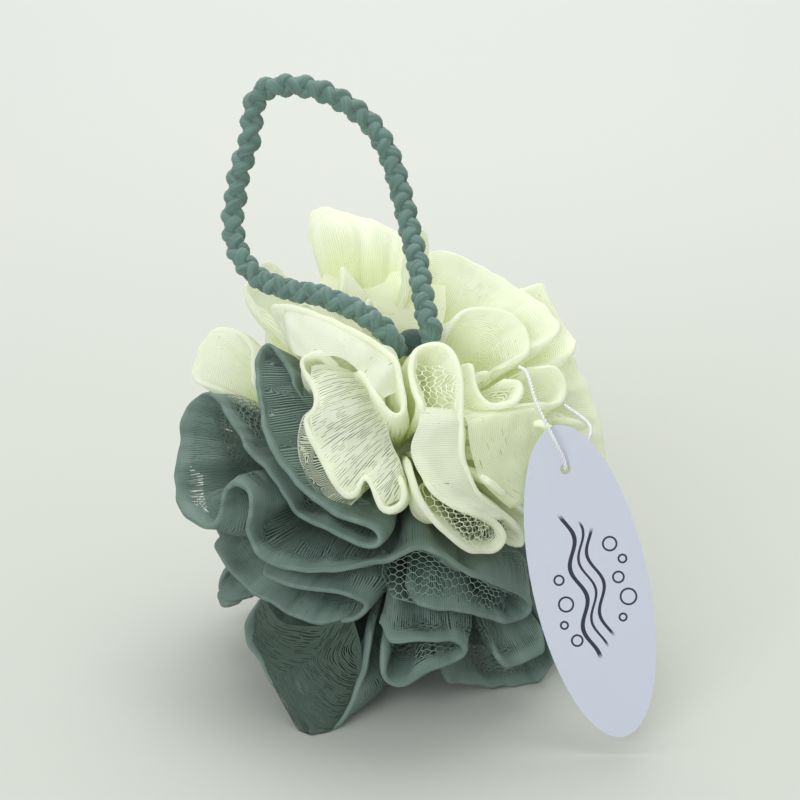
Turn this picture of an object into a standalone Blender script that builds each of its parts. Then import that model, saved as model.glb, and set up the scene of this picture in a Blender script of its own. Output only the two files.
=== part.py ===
"""Bath pouf: two gathered tubes of netting tied at the middle, a braided loop, a card tag on a string.

Units are metres, +Z is up, the pouf rests on z = 0 and the front faces -Y.
Every fold is a thin leaf that runs from its outer edge to the tie in the middle.
"""
import math

import bmesh
import bpy
import numpy as np
from mathutils import Matrix, Vector

MM = 0.001
GAP = 0.0003

# The pouf
TIE_HEIGHT = 0.063
LEAF_HALF_ANGLE = math.radians(1.0)
LEAF_CLEAR_ANGLE = math.radians(2.7)
PLAIN_CLEAR_ANGLE = math.radians(4.2)
EDGE_SHARE = 0.65
LEAN_DEPTH = 0.011
LEAN_SHARE = 0.80
LEAN_BLUR = 5
SIDE_SLICE = 0.035
SIDE_FACING = 0.7
SIDE_CLEAR = 1.3
WIDEST_FREE = 0.42
EAGER_SPOTS = [(-24, 10, 7, 24)]
EAGER_FRONT = 20.0
EAGER_SHARE = 0.38
TURN_SHARE = 0.6
TURN_BLUR = 2
TURN_NEAR = 3
END_EASE = 0.008
SWIRL_START = 0.006
SWIRL_REACH = 0.060
UNSWIRL_PASSES = 20
CORE_RADIUS = 0.014
LEAF_ROOT_DEPTH = 0.002
LEAF_ROOT_CLEAR = 0.001
TONGUE_POINTS = 2
ROOT_SIDE_ANGLE = math.radians(13.0)
UPRIGHT_SIDE_ANGLE = math.radians(16.0)
CORE_SEGMENTS = 16
CORE_RINGS = 8
LOOP_NEAREST = 1.6 * CORE_RADIUS
LEAST_FACING = 0.05

# The plain folds of the back, the underside and the gaps at the front
PLAIN_REACH = 0.061
FRONT_PLAIN_REACH = 0.046
FRONT_BLEND = 0.35
TOP_REACH_MORE = 0.008
UNDER_REACH_MORE = 0.012
UNDER_FROM = -0.6
EDGE_RIPPLE = 0.0022
EDGE_RIPPLES = 5
PLAIN_ROW_STEP = 20.0
PLAIN_WAVE = 9.0
PLAIN_DRIFT = 2.5
POLE_WIDTH = 0.3
PLAIN_WAVES = 8
FEWEST_WAVES = 3
PLAIN_DEGREE_STEP = 0.5
SHORTEST_FOLD = 0.012

# How closely a fold's points follow its curve
ROUTE_PARTS = 16
FOLD_STEP = 0.0010
SELF_APART = 0.0060
RELAX_PASSES = 5
THIN_LONGEST = 0.0064
THIN_SHORTEST = 0.0018
THIN_TURN = math.radians(17.0)

# The tie round the gathers
TIE_CORD_RADIUS = 0.0021
TIE_RING_RADIUS = 0.0085
TIE_SEGMENTS = 20
TIE_CORD_SEGMENTS = 8

# The hanging loop
CORD_RADIUS = 0.0034
CORD_POINT_STEP = 0.0100
CORD_ROOM = 0.0008
KNOT_RADIUS = 0.0052
KNOT_HEIGHT = 0.0080
KNOT_SEGMENTS = 12
KNOT_RINGS = 8

# The tag and its string
TAG_LENGTH = 0.089
TAG_WIDTH = 0.0325
TAG_THICKNESS = 0.0006
TAG_HOLE_RADIUS = 0.0015
TAG_HOLE_FROM_TOP = 0.0125
TAG_LEAN = math.radians(12.3)
TAG_ROOM = 0.0024
TAG_EDGE_POINTS = 56
TAG_HOLE_POINTS = 20
STRING_RADIUS = 0.00055
STRING_POINT_STEP = 0.0026
STRING_TURN = 0.0028
STRING_STAND_OFF = STRING_TURN / 3
STRING_HOLE_RISE = 0.1 * STRING_TURN
STRING_HOLE_SHARE = 0.8

# Route points are in millimetres from the tie, as seen from the front and a little above:
# to the right, up, and toward the viewer.
VIEW_TILT = math.radians(20.0)
ACROSS = np.array([1.0, 0.0, 0.0])
UPWARD = np.array([0.0, math.sin(VIEW_TILT), math.cos(VIEW_TILT)])
TOWARD = np.array([0.0, -math.cos(VIEW_TILT), math.sin(VIEW_TILT)])
CREAM_SIDE = np.array([0.40, 0.03, 0.916])
CREAM_SIDE = CREAM_SIDE / np.linalg.norm(CREAM_SIDE)

SAGE_FOLDS = {
    "long front fold": [
        (-31, 19, 40), (-30, 22, 36), (-32, 26, 31), (-35, 30, 25), (-38, 33, 20), (-40, 32, 19),
        (-42, 26, 24), (-40, 17, 32), (-38, 7, 40), (-34, 0, 46), (-28, -7, 52), (-23, -11, 55),
        (-17, -15, 58), (-10, -17, 59), (-6, -19, 59), (-5, -22, 58), (-8, -24, 57), (-14, -22, 54),
        (-20, -19, 50), (-28, -16, 45), (-32, -11, 41), (-35, -7, 37), (-38, -3, 33), (-43, 1, 28),
        (-46, 5, 23), (-49, 10, 18), (-53, 15, 12), (-57, 19, 9), (-61, 17, 8), (-64, 13, 8), (-65, 6, 10),
        (-66, -3, 12), (-66, -10, 15), (-64, -15, 20), (-61, -18, 24), (-56, -20, 28), (-53, -19, 32),
        (-51, -15, 34), (-50, -10, 34), (-48, -7, 36), (-44, -8, 40), (-42, -11, 42), (-42, -15, 43),
        (-43, -20, 42), (-42, -23, 42), (-40, -27, 42), (-35, -30, 42), (-28, -31, 44), (-19, -31, 47),
        (-10, -29, 51), (-4, -28, 53), (0, -26, 54), (5, -24, 54), (11, -26, 52), (18, -31, 46),
        (26, -35, 39), (32, -38, 32), (37, -41, 27), (38, -45, 25), (34, -47, 26), (29, -47, 30),
        (23, -45, 34), (18, -43, 38), (9, -42, 42), (1, -40, 43)],
    "low left loop": [
        (-57, -23, 17), (-54, -27, 19), (-50, -32, 22), (-44, -38, 25), (-37, -42, 29), (-30, -45, 32),
        (-24, -47, 34), (-17, -47, 35), (-12, -45, 37), (-9, -42, 39), (-11, -40, 41), (-15, -38, 42),
        (-24, -37, 41), (-30, -36, 39), (-37, -34, 36), (-42, -31, 33)],
    "low middle loop": [
        (-7, -51, 41), (0, -51, 42), (9, -51, 41), (16, -52, 38), (19, -55, 34), (16, -58, 33),
        (9, -60, 34), (5, -63, 33), (0, -66, 31), (-4, -64, 32), (-5, -61, 34), (-6, -57, 36)],
    "front leaf": [
        (-46, -46, 14), (-46, -50, 16), (-44, -55, 19), (-41, -59, 22), (-38, -64, 24), (-34, -69, 26),
        (-30, -73, 28), (-25, -77, 29), (-20, -78, 30), (-17, -76, 30), (-14, -71, 31), (-12, -65, 32),
        (-10, -60, 33), (-10, -54, 35)],
    "low right leaf": [
        (11, -65, 22), (16, -66, 17), (24, -68, 11), (35, -69, 5), (42, -68, 3), (45, -64, 4), (46, -59, 6),
        (45, -54, 8), (43, -49, 11)],
    "left knob": [
        (-48, -32, 3), (-52, -34, 0), (-55, -39, -3), (-53, -44, -3), (-48, -46, -1)],
}
CREAM_FOLDS = {
    "slit panel": [
        (-19, 30, 46), (-24, 30, 44), (-28, 28, 42), (-26, 23, 45), (-24, 20, 47), (-23, 16, 49),
        (-24, 13, 50), (-27, 12, 50), (-25, 7, 52), (-22, 1, 55), (-18, -6, 58), (-15, -10, 59),
        (-12, -9, 60), (-10, -4, 60), (-8, -6, 61), (-6, -11, 62), (-4, -14, 62), (-1, -13, 62),
        (1, -11, 61), (1, -7, 60), (-2, -2, 58)],
    "long fold": [
        (-40, 44, 18), (-33, 44, 25), (-26, 42, 32), (-19, 39, 38), (-11, 35, 43), (-5, 31, 46),
        (-1, 27, 49), (0, 22, 52), (1, 17, 54), (1, 13, 56), (-1, 12, 57), (-4, 14, 56), (-7, 18, 54),
        (-10, 23, 51), (-14, 27, 49)],
    "arch": [
        (7, 11, 59), (6, 15, 57), (4, 20, 53), (3, 25, 48), (4, 30, 44), (7, 32, 42), (11, 33, 42),
        (14, 31, 44), (16, 27, 47), (17, 23, 50), (17, 16, 53), (17, 8, 56), (17, 1, 57), (19, -4, 57),
        (22, -10, 54), (27, -14, 49), (32, -18, 43), (35, -22, 38), (35, -26, 37), (32, -27, 39)],
    "long drop": [
        (6, 3, 59), (6, -2, 60), (8, -7, 61), (11, -10, 60), (16, -13, 59), (22, -15, 55), (26, -17, 51),
        (29, -21, 47), (29, -24, 45), (27, -26, 45), (24, -26, 47), (19, -25, 51), (14, -21, 56),
        (9, -16, 60), (5, -10, 62), (3, -4, 61), (2, 1, 60)],
    "rosette": [
        (20, 30, 34), (21, 23, 40), (22, 18, 43), (25, 15, 44), (29, 15, 43), (33, 16, 40), (35, 20, 36),
        (34, 25, 31)],
    "high back lobe": [
        (-28, 59, -22), (-32, 66, -25), (-31, 72, -27), (-28, 76, -28), (-23, 77, -28), (-16, 75, -28),
        (-9, 73, -27), (-1, 69, -26), (4, 65, -23), (8, 64, -18), (12, 64, -15), (17, 62, -12),
        (22, 59, -9), (29, 55, -6), (36, 50, -3), (42, 46, 0), (46, 42, 3), (48, 38, 6), (45, 35, 10),
        (41, 34, 12)],
    "right roll": [
        (13, 34, 22), (15, 39, 18), (19, 43, 14), (25, 44, 12), (31, 43, 11), (35, 40, 11), (38, 36, 13),
        (38, 31, 17), (35, 29, 22)],
    "right rim": [
        (46, 33, -10), (50, 32, -10), (53, 29, -9), (56, 23, -8), (59, 16, -7), (61, 9, -5), (62, 1, -3),
        (61, -6, 0), (58, -13, 4), (53, -17, 8), (49, -15, 13)],
    "right cup": [
        (43, 29, 14), (47, 26, 12), (49, 21, 12), (48, 16, 16), (43, 15, 22), (40, 16, 27)],
    "back left lobe": [
        (-24, 45, 5), (-28, 51, -6), (-31, 56, -9), (-36, 59, -10), (-41, 59, -8), (-44, 55, -4),
        (-47, 51, 0), (-46, 47, 5)],
    "left rosette": [
        (-43, 19, 18), (-44, 25, 13), (-44, 31, 9), (-46, 35, 6), (-50, 38, 3), (-55, 38, 1), (-58, 36, -1),
        (-61, 31, -2), (-63, 26, -2), (-61, 22, 1), (-57, 22, 5)],
    "left swirl": [
        (-55, 34, 6), (-54, 30, 9), (-51, 28, 12), (-48, 30, 13), (-48, 34, 12)],
    "right slope": [
        (21, -3, 55), (26, -7, 51), (31, -11, 46), (36, -15, 40), (40, -19, 35), (39, -25, 32)],
    "right side": [
        (39, 11, 40), (44, 8, 36), (48, 3, 31), (49, -3, 30), (47, -9, 32), (42, -12, 37), (39, -10, 42)],
}
LOOP_ROUTE = [
    (-1, 32, 24), (-2, 31, 28), (-2, 33, 33), (-5, 37, 33), (-9, 40, 31), (-14, 43, 28), (-19, 45, 26),
    (-24, 47, 23), (-30, 48, 19), (-36, 50, 15), (-41, 52, 11), (-46, 57, 8), (-49, 63, 5), (-50, 71, 3),
    (-49, 78, 2), (-48, 85, 2), (-45, 94, 2), (-44, 103, 2), (-42, 108, 3), (-37, 110, 4), (-29, 110, 4),
    (-22, 108, 4), (-15, 104, 5), (-9, 99, 5), (-5, 93, 6), (-2, 86, 7), (1, 75, 9), (3, 66, 12),
    (5, 57, 16), (6, 51, 20), (7, 44, 24), (8, 39, 27), (9, 36, 28), (9, 34, 25)]
KNOT_MIDDLE = (4, 33, 19)
TAG_MIDDLE = (53, -34, 43)
STRING_START = [(34, 26, 30), (36, 24, 36), (38, 16, 43), (42, 7, 47)]
STRING_END = [(50, 1, 39), (54, 6, 33), (54, 10, 26), (48, 15, 18)]


def seen(right, up, toward):
    """The place, from the tie, of a point given as the viewer sees it."""
    return (right * ACROSS + up * UPWARD + toward * TOWARD) * MM


def unit(v):
    return v / np.linalg.norm(v, axis=-1, keepdims=True)


def turned(v, angle):
    """v turned about the viewing direction; angle may differ from point to point."""
    angle = np.asarray(angle)[..., None]
    along = (v @ TOWARD)[..., None] * TOWARD
    return v * np.cos(angle) + np.cross(TOWARD, v) * np.sin(angle) + along * (1 - np.cos(angle))


def swirl(v):
    """Each line from the tie to a fold's edge starts a little to one side, so the folds lean round."""
    reach = np.linalg.norm(v, axis=-1, keepdims=True)
    return v + SWIRL_START * (1 - reach / SWIRL_REACH) * np.cross(TOWARD, v / reach)


def unswirl(p):
    """The fold direction and reach, as one vector, that swirl brings to p."""
    depth = p @ TOWARD
    around2 = (p * p).sum(-1) - depth ** 2
    reach = np.linalg.norm(p, axis=-1)
    for _ in range(UNSWIRL_PASSES):
        start = SWIRL_START * (1 - reach / SWIRL_REACH)
        reach = np.sqrt(depth ** 2 + around2 * reach ** 2 / (reach ** 2 + start ** 2))
    start = SWIRL_START * (1 - reach / SWIRL_REACH)
    along = depth[..., None] * TOWARD
    back = turned(p - along, -np.arctan2(start, reach)) * (reach / np.hypot(reach, start))[..., None]
    return along + back


CORE_AXIS = unit(swirl(CREAM_SIDE * CORE_RADIUS))


def smooth_route(points, step):
    """Points at an even step along a smooth curve through the route's points."""
    p = np.array(points, float)
    ends = np.vstack([2 * p[0] - p[1], p, 2 * p[-1] - p[-2]])
    t = np.linspace(0, 1, ROUTE_PARTS, endpoint=False)[:, None]
    spans = []
    for a, b, c, d in zip(ends[:-3], ends[1:-2], ends[2:-1], ends[3:]):
        spans.append(0.5 * (2 * b + (c - a) * t + (2 * a - 5 * b + 4 * c - d) * t ** 2
                            + (3 * b - a - 3 * c + d) * t ** 3))
    curve = np.vstack(spans + [p[-1:]])
    run = np.concatenate([[0], np.cumsum(np.linalg.norm(np.diff(curve, axis=0), axis=1))])
    at = np.linspace(0, run[-1], max(3, round(run[-1] / step) + 1))
    return np.stack([np.interp(at, run, curve[:, k]) for k in range(3)], 1)


def frame_about(axis):
    side = unit(np.cross(axis, TOWARD))
    return side, np.cross(axis, side)


def loop_spheres():
    """Balls along the loop that the folds stay clear of."""
    half_leaf = PLAIN_REACH * math.tan(LEAF_HALF_ANGLE)
    route = smooth_route([seen(*p) for p in LOOP_ROUTE], CORD_RADIUS)
    return route, CORD_RADIUS + half_leaf + CORD_ROOM


def tag_axes():
    """The tag's long axis (downward), its width axis, its normal and its middle."""
    down = math.sin(TAG_LEAN) * ACROSS - math.cos(TAG_LEAN) * UPWARD
    return down, np.cross(TOWARD, down), TOWARD, seen(*TAG_MIDDLE)


def floor_reach(directions):
    """How far along each direction the floor lies."""
    start = SWIRL_START * np.cross(TOWARD, directions)
    fall = -(directions - start / SWIRL_REACH)[..., 2]
    falls = fall > LEAST_FACING
    return np.where(falls, (TIE_HEIGHT + start[..., 2]) / np.where(falls, fall, 1.0), np.inf)


def clear_reach(directions, reach):
    """How far each fold may reach before it meets the floor, the loop or the tag."""
    reach = reach.copy()
    rays = unit(swirl(directions * reach[:, None]))
    spheres, radius = loop_spheres()
    along = rays @ spheres.T
    off = (spheres ** 2).sum(1)[None] - along ** 2
    entry = along - np.sqrt(np.maximum(radius ** 2 - off, 0))
    entry = np.where((off < radius ** 2) & (along > 0), entry, np.inf)
    reach = np.minimum(reach, np.maximum(entry.min(1), LOOP_NEAREST))
    down, wide, normal, middle = tag_axes()
    facing = rays @ normal
    hit = ((middle @ normal) - TAG_ROOM) / np.where(facing > LEAST_FACING, facing, np.inf)
    where = rays * hit[:, None] - middle
    length_share = (where @ down) / (TAG_LENGTH / 2 + TAG_ROOM)
    width_share = (where @ wide) / (TAG_WIDTH / 2 + TAG_ROOM)
    behind_tag = (facing > LEAST_FACING) & (length_share ** 2 + width_share ** 2 < 1)
    reach = np.where(behind_tag, np.minimum(reach, hit), reach)
    return np.minimum(reach, floor_reach(directions))


def rooted(directions, is_cream):
    """Where a fold lies over its own net's half of the middle, and so joins it."""
    facing = directions @ CREAM_SIDE * (1 if is_cream else -1)
    return facing > math.sin(ROOT_SIDE_ANGLE)


def thinned(directions, reach):
    """The stations to keep: fewer where the fold runs straight, more where it turns."""
    keep = [0]
    turn = 0.0
    run = 0.0
    at = directions * reach[:, None]
    for i in range(1, len(at) - 1):
        before = unit(at[i] - at[i - 1])
        after = unit(at[i + 1] - at[i])
        turn += math.acos(float(np.clip(before @ after, -1, 1)))
        run += float(np.linalg.norm(at[i] - at[i - 1]))
        if run > THIN_LONGEST or (turn > THIN_TURN and run > THIN_SHORTEST):
            keep.append(i)
            turn = 0.0
            run = 0.0
    if run < THIN_SHORTEST and len(keep) > 1:
        keep.pop()
    keep.append(len(at) - 1)
    return keep


def clear_runs(directions, reach, taken, clear_angle):
    """The stretches of a fold that keep clear of the folds already made, and of themselves."""
    limit = math.cos(clear_angle)
    free = np.ones(len(directions), bool)
    if len(taken):
        free = np.max(directions @ np.vstack(taken).T, axis=1) < limit
    apart = round(SELF_APART / FOLD_STEP)
    runs = []
    start = 0
    for i in range(len(directions) + 1):
        if i < len(directions) and free[i]:
            before = directions[:max(0, i - apart)][free[:max(0, i - apart)]]
            free[i] = not len(before) or np.max(before @ directions[i]) < limit
        if i == len(directions) or not free[i]:
            if (i - start) * FOLD_STEP > SHORTEST_FOLD:
                runs.append((directions[start:i], reach[start:i]))
            else:
                free[start:i] = False
            start = i + 1
    return runs


def blurred(values, width):
    """The values along a fold, smoothed over that many stations each way."""
    kernel = np.hanning(2 * width + 3)[1:-1]
    return np.convolve(np.pad(values, width, mode="edge"), kernel / kernel.sum(), mode="valid")


def eased(x):
    x = np.clip(x, 0, 1)
    return x * x * (3 - 2 * x)


def lowest_near(values, n):
    """The lowest value within n stations."""
    padded = np.pad(values, n, mode="edge")
    return np.min([padded[k:k + len(values)] for k in range(2 * n + 1)], axis=0)


def free_angles(directions, across, run, others):
    """The angle from each station to the nearest fold on either side, and how eager that fold is.

    The fold itself counts where it comes back, further along."""
    along = np.cross(across, directions)
    own = np.column_stack([directions, np.zeros(len(directions))])
    everything = np.vstack([others, own])
    far = np.ones((len(directions), len(everything)), bool)
    far[:, len(others):] = np.abs(run[:, None] - run[None, :]) > SIDE_CLEAR * SELF_APART
    facing = directions @ everything[:, :3].T
    beside = far & (facing > SIDE_FACING) & (np.abs(along @ everything[:, :3].T) < SIDE_SLICE)
    angle = np.arctan2(across @ everything[:, :3].T, facing)
    found = []
    for sign in (1, -1):
        gaps = np.where(beside & (sign * angle > 0), sign * angle, WIDEST_FREE)
        nearest = gaps.argmin(1)
        gap = gaps.min(1)
        found.append((gap, np.where(gap < WIDEST_FREE, everything[nearest, 3], 0.0)))
    return found


def eagerness(is_cream, directions, reach):
    """Where a cream fold fills most of the space beside it, from 0 to 1."""
    place = swirl(directions * reach[:, None]) / MM
    most = np.zeros(len(reach))
    for right, up, half_wide, half_high in EAGER_SPOTS:
        away = np.hypot((place @ ACROSS - right) / half_wide, (place @ UPWARD - up) / half_high)
        most = np.maximum(most, eased(2.0 - 1.6 * away) * eased(place @ TOWARD / EAGER_FRONT - 1))
    return most if is_cream else 0 * most


def turn_limits(directions, across):
    """How far each fold may lean to its either side before it would cross itself in its own turns."""
    step = np.linalg.norm(np.gradient(directions, axis=0), axis=1)
    heading = unit(np.cross(across, directions))
    bend = blurred((np.gradient(heading, axis=0) * across).sum(1) / step, TURN_BLUR)
    return [lowest_near(TURN_SHARE / np.maximum(sign * bend, TURN_SHARE / WIDEST_FREE), TURN_NEAR) for sign in (1, -1)]


def shared_angles(directions, across, run, others, eager):
    """The share that a fold may take of the space on its either side."""
    (right, right_eager), (left, left_eager) = free_angles(directions, across, run, others)
    most_right, most_left = turn_limits(directions, across)
    return (np.minimum(right * (0.5 + EAGER_SHARE * (eager - right_eager)), most_right),
            np.minimum(left * (0.5 + EAGER_SHARE * (eager - left_eager)), most_left))


def lean_of(directions, across, others, eager):
    """How far, as an angle, each fold leans into the wider of the two spaces beside it."""
    run = FOLD_STEP * np.arange(len(directions))
    right, left = shared_angles(directions, across, run, others, eager)
    from_end = np.minimum(run, run[-1] - run)
    return blurred(LEAN_SHARE * (right - left), LEAN_BLUR) * eased(from_end / END_EASE)


def relaxed(curve):
    """The curve with its tightest turns opened a little."""
    for _ in range(RELAX_PASSES):
        curve = np.vstack([curve[:1], (curve[:-2] + 2 * curve[1:-1] + curve[2:]) / 4, curve[-1:]])
    return curve


def traced_fold(points):
    rim = relaxed(smooth_route([seen(*p) for p in points], FOLD_STEP))
    base = unswirl(rim)
    return unit(base), np.linalg.norm(base, axis=1)


def plain_folds():
    """Waved rows round the cream side's axis, from the cream pole to the sage pole."""
    side, other = frame_about(CREAM_SIDE)
    rows = []
    count = int(180.0 / PLAIN_ROW_STEP)
    for row in range(count):
        middle = (row + 0.5) * PLAIN_ROW_STEP
        around = np.radians(np.arange(0, 360.0, PLAIN_DEGREE_STEP))
        width = math.sin(math.radians(middle))
        if width < POLE_WIDTH and middle < 90.0:
            continue
        waves = max(FEWEST_WAVES, round(PLAIN_WAVES * width))
        wave = PLAIN_WAVE * min(1.0, max(0.0, 2.0 * (width - POLE_WIDTH)))
        polar = np.radians(middle + wave * np.sin(waves * around)
                           + PLAIN_DRIFT * np.sin(2 * around + row))
        d = (np.cos(polar)[:, None] * CREAM_SIDE
             + (np.sin(polar) * np.cos(around))[:, None] * side
             + (np.sin(polar) * np.sin(around))[:, None] * other)
        front = np.clip((d @ TOWARD) / FRONT_BLEND, 0, 1)
        reach = PLAIN_REACH + (FRONT_PLAIN_REACH - PLAIN_REACH) * front
        reach = reach + TOP_REACH_MORE * np.clip(d[:, 2], 0, 1) * (1 - front)
        reach = reach + EDGE_RIPPLE * np.sin(EDGE_RIPPLES * around + 2 * row)
        reach = np.where(d[:, 2] < UNDER_FROM, PLAIN_REACH + UNDER_REACH_MORE, reach)
        curve = d * reach[:, None]
        run = np.concatenate([[0], np.cumsum(np.linalg.norm(np.diff(curve, axis=0), axis=1))])
        at = np.arange(0, run[-1], FOLD_STEP)
        even = np.stack([np.interp(at, run, curve[:, k]) for k in range(3)], 1)
        rows.append((middle < 90.0, unit(even), np.linalg.norm(even, axis=1)))
    return rows


def all_folds():
    """Every fold as (is cream, directions, reach), none nearer to another than the clear angle."""
    taken = []
    folds = []
    for is_cream, group in ((False, SAGE_FOLDS), (True, CREAM_FOLDS)):
        for points in group.values():
            added = clear_runs(*traced_fold(points), taken, LEAF_CLEAR_ANGLE)
            added = [(d, reach) for d, reach in added if rooted(d, is_cream).any()]
            folds.extend((is_cream, d, reach) for d, reach in added)
            taken.extend(d for d, reach in added)
    for is_cream, directions, reaches in plain_folds():
        added = clear_runs(directions, reaches, taken, PLAIN_CLEAR_ANGLE)
        added = [(d, reach) for d, reach in added if rooted(d, is_cream).any()]
        folds.extend((is_cream, d, reach) for d, reach in added)
        taken.extend(d for d, reach in added)
    return folds


def add_leaf(bm, is_cream, directions, reach, others):
    """One fold: a thin leaf from its outer edge to the gathers at the tie.

    Both sides are split along the same diagonals, so that they stay a leaf's thickness apart.
    """
    reach = clear_reach(directions, reach)
    across = unit(np.cross(directions, np.gradient(directions, axis=0)))
    lean = lean_of(directions, across, others, eagerness(is_cream, directions, reach))
    if abs(directions @ CREAM_SIDE).max() < math.sin(UPRIGHT_SIDE_ANGLE):
        lean = 0 * lean
    keep = thinned(directions, reach)
    directions, reach, lean = directions[keep], reach[keep], lean[keep]
    ahead = np.gradient(directions, axis=0)
    across = unit(np.cross(directions, ahead))
    steps = np.arange(len(directions))
    heading = unit(np.diff(directions, axis=0))
    straight = (heading[1:] * heading[:-1]).sum(1)
    tongue = 1 + np.argmax(np.where(rooted(directions, is_cream)[1:-1], straight, -1.0))
    at_tongue = abs(steps - tongue) < TONGUE_POINTS
    root = np.where(at_tongue, CORE_RADIUS - LEAF_ROOT_DEPTH, CORE_RADIUS + LEAF_ROOT_CLEAR)
    half = math.tan(LEAF_HALF_ANGLE)
    waist = np.maximum(reach - LEAN_DEPTH, (reach + root) / 2)
    levels = [(root, 1.0, lean), (waist, 1.0, lean), (reach, EDGE_SHARE, 0 * lean)]
    on_floor = reach > floor_reach(directions) - GAP
    rings = []
    for i in range(len(directions)):
        ring = []
        for sign in (1, -1):
            for radius, share, tilt in (levels if sign > 0 else levels[::-1]):
                d = unit(directions[i] + (sign * share * half + math.tan(tilt[i])) * across[i])
                out = radius[i]
                if on_floor[i] and radius is reach:
                    out = floor_reach(d)
                p = swirl(d * out)
                ring.append(bm.verts.new((p[0], p[1], max(p[2] + TIE_HEIGHT, 0.0))))
        rings.append(ring)
    count = len(rings[0])
    for a, b in zip(rings[:-1], rings[1:]):
        for k in range(count):
            n = (k + 1) % count
            if k < count // 2:
                bm.faces.new((a[k], a[n], b[n]))
                bm.faces.new((a[k], b[n], b[k]))
            else:
                bm.faces.new((a[k], a[n], b[k]))
                bm.faces.new((a[n], b[n], b[k]))
    bm.faces.new(rings[0][::-1])
    bm.faces.new(rings[-1])


def mesh_object(name, bm, collection):
    mesh = bpy.data.meshes.new(name)
    bm.to_mesh(mesh)
    bm.free()
    obj = bpy.data.objects.new(name, mesh)
    collection.objects.link(obj)
    return obj


def add_core(name, side_sign, collection):
    """Half a ball: the gathered middle of one net, flat where the tie lies."""
    axis = CORE_AXIS * side_sign
    bm = bmesh.new()
    bmesh.ops.create_uvsphere(bm, u_segments=CORE_SEGMENTS, v_segments=CORE_RINGS, radius=CORE_RADIUS)
    bmesh.ops.rotate(bm, verts=bm.verts, cent=(0, 0, 0), matrix=Vector((0, 0, 1)).rotation_difference(
        Vector(axis)).to_matrix())
    flat = axis * (TIE_CORD_RADIUS + GAP)
    ball = bm.verts[:] + bm.edges[:] + bm.faces[:]
    cut = bmesh.ops.bisect_plane(bm, geom=ball, plane_co=flat, plane_no=axis, clear_inner=True, dist=1e-6)
    bmesh.ops.holes_fill(bm, edges=[e for e in cut["geom_cut"] if isinstance(e, bmesh.types.BMEdge)])
    bmesh.ops.translate(bm, verts=bm.verts, vec=(0, 0, TIE_HEIGHT))
    return mesh_object(name, bm, collection)


def add_net(name, is_cream, folds, parts, cutters):
    """One gathered net: its core with every leaf joined to it."""
    net = add_core(name, 1 if is_cream else -1, parts)
    bm = bmesh.new()
    for index, (cream, d, reach) in enumerate(folds):
        if cream == is_cream:
            others = np.vstack([np.column_stack([fold[1], eagerness(*fold)])
                                for k, fold in enumerate(folds) if k != index])
            add_leaf(bm, is_cream, d, reach, others)
    leaves = mesh_object(name + "_leaves", bm, cutters)
    leaves.hide_render = True
    leaves.display_type = "WIRE"
    join = net.modifiers.new("Join leaves", "BOOLEAN")
    join.operation = "UNION"
    join.solver = "EXACT"
    join.use_self = True
    join.object = leaves
    return net


def tube(name, points, radius, collection):
    curve = bpy.data.curves.new(name, "CURVE")
    curve.dimensions = "3D"
    curve.bevel_depth = radius
    curve.bevel_resolution = 2
    curve.use_fill_caps = True
    spline = curve.splines.new("POLY")
    spline.points.add(len(points) - 1)
    for point, place in zip(spline.points, points):
        point.co = (*place, 1.0)
    obj = bpy.data.objects.new(name, curve)
    obj.location.z = TIE_HEIGHT
    collection.objects.link(obj)
    return obj


def add_tie(collection):
    bpy.ops.mesh.primitive_torus_add(major_segments=TIE_SEGMENTS, minor_segments=TIE_CORD_SEGMENTS,
                                     major_radius=TIE_RING_RADIUS, minor_radius=TIE_CORD_RADIUS)
    tie = bpy.context.object
    tie.name = "binding_tie"
    tie.location.z = TIE_HEIGHT
    tie.rotation_mode = "QUATERNION"
    tie.rotation_quaternion = Vector((0, 0, 1)).rotation_difference(Vector(CORE_AXIS))
    for home in list(tie.users_collection):
        home.objects.unlink(tie)
    collection.objects.link(tie)
    tie.data.shade_smooth()
    return tie


def add_loop(collection):
    points = smooth_route([seen(*p) for p in LOOP_ROUTE], CORD_POINT_STEP)
    return tube("hanging_cord", points, CORD_RADIUS, collection)


def add_knot(collection):
    """The tied ends of the loop, just below where both go out of sight."""
    middle = seen(*KNOT_MIDDLE)
    bm = bmesh.new()
    bmesh.ops.create_uvsphere(bm, u_segments=KNOT_SEGMENTS, v_segments=KNOT_RINGS, radius=KNOT_RADIUS)
    bmesh.ops.scale(bm, verts=bm.verts, vec=(1, 1, KNOT_HEIGHT / 2 / KNOT_RADIUS))
    knot = mesh_object("cord_knot", bm, collection)
    knot.rotation_mode = "QUATERNION"
    knot.rotation_quaternion = Vector((0, 0, 1)).rotation_difference(Vector(unit(middle)))
    knot.location = Vector(middle) + Vector((0, 0, TIE_HEIGHT))
    return knot


def add_tag(collection):
    down, wide, normal, middle = tag_axes()
    curve = bpy.data.curves.new("swing_tag", "CURVE")
    curve.dimensions = "2D"
    curve.fill_mode = "BOTH"
    curve.extrude = TAG_THICKNESS / 2
    hole_at = TAG_LENGTH / 2 - TAG_HOLE_FROM_TOP
    for count, half_wide, half_long, centre in ((TAG_EDGE_POINTS, TAG_WIDTH / 2, TAG_LENGTH / 2, 0.0),
                                                (TAG_HOLE_POINTS, TAG_HOLE_RADIUS, TAG_HOLE_RADIUS, hole_at)):
        spline = curve.splines.new("POLY")
        spline.points.add(count - 1)
        spline.use_cyclic_u = True
        for i, point in enumerate(spline.points):
            angle = 2 * math.pi * i / count
            point.co = (half_wide * math.cos(angle), centre + half_long * math.sin(angle), 0, 1)
    tag = bpy.data.objects.new("swing_tag", curve)
    turn = Matrix((wide, -down, normal)).transposed()
    tag.matrix_world = Matrix.Translation(Vector(middle) + Vector((0, 0, TIE_HEIGHT))) @ turn.to_4x4()
    collection.objects.link(tag)
    return tag


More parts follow.
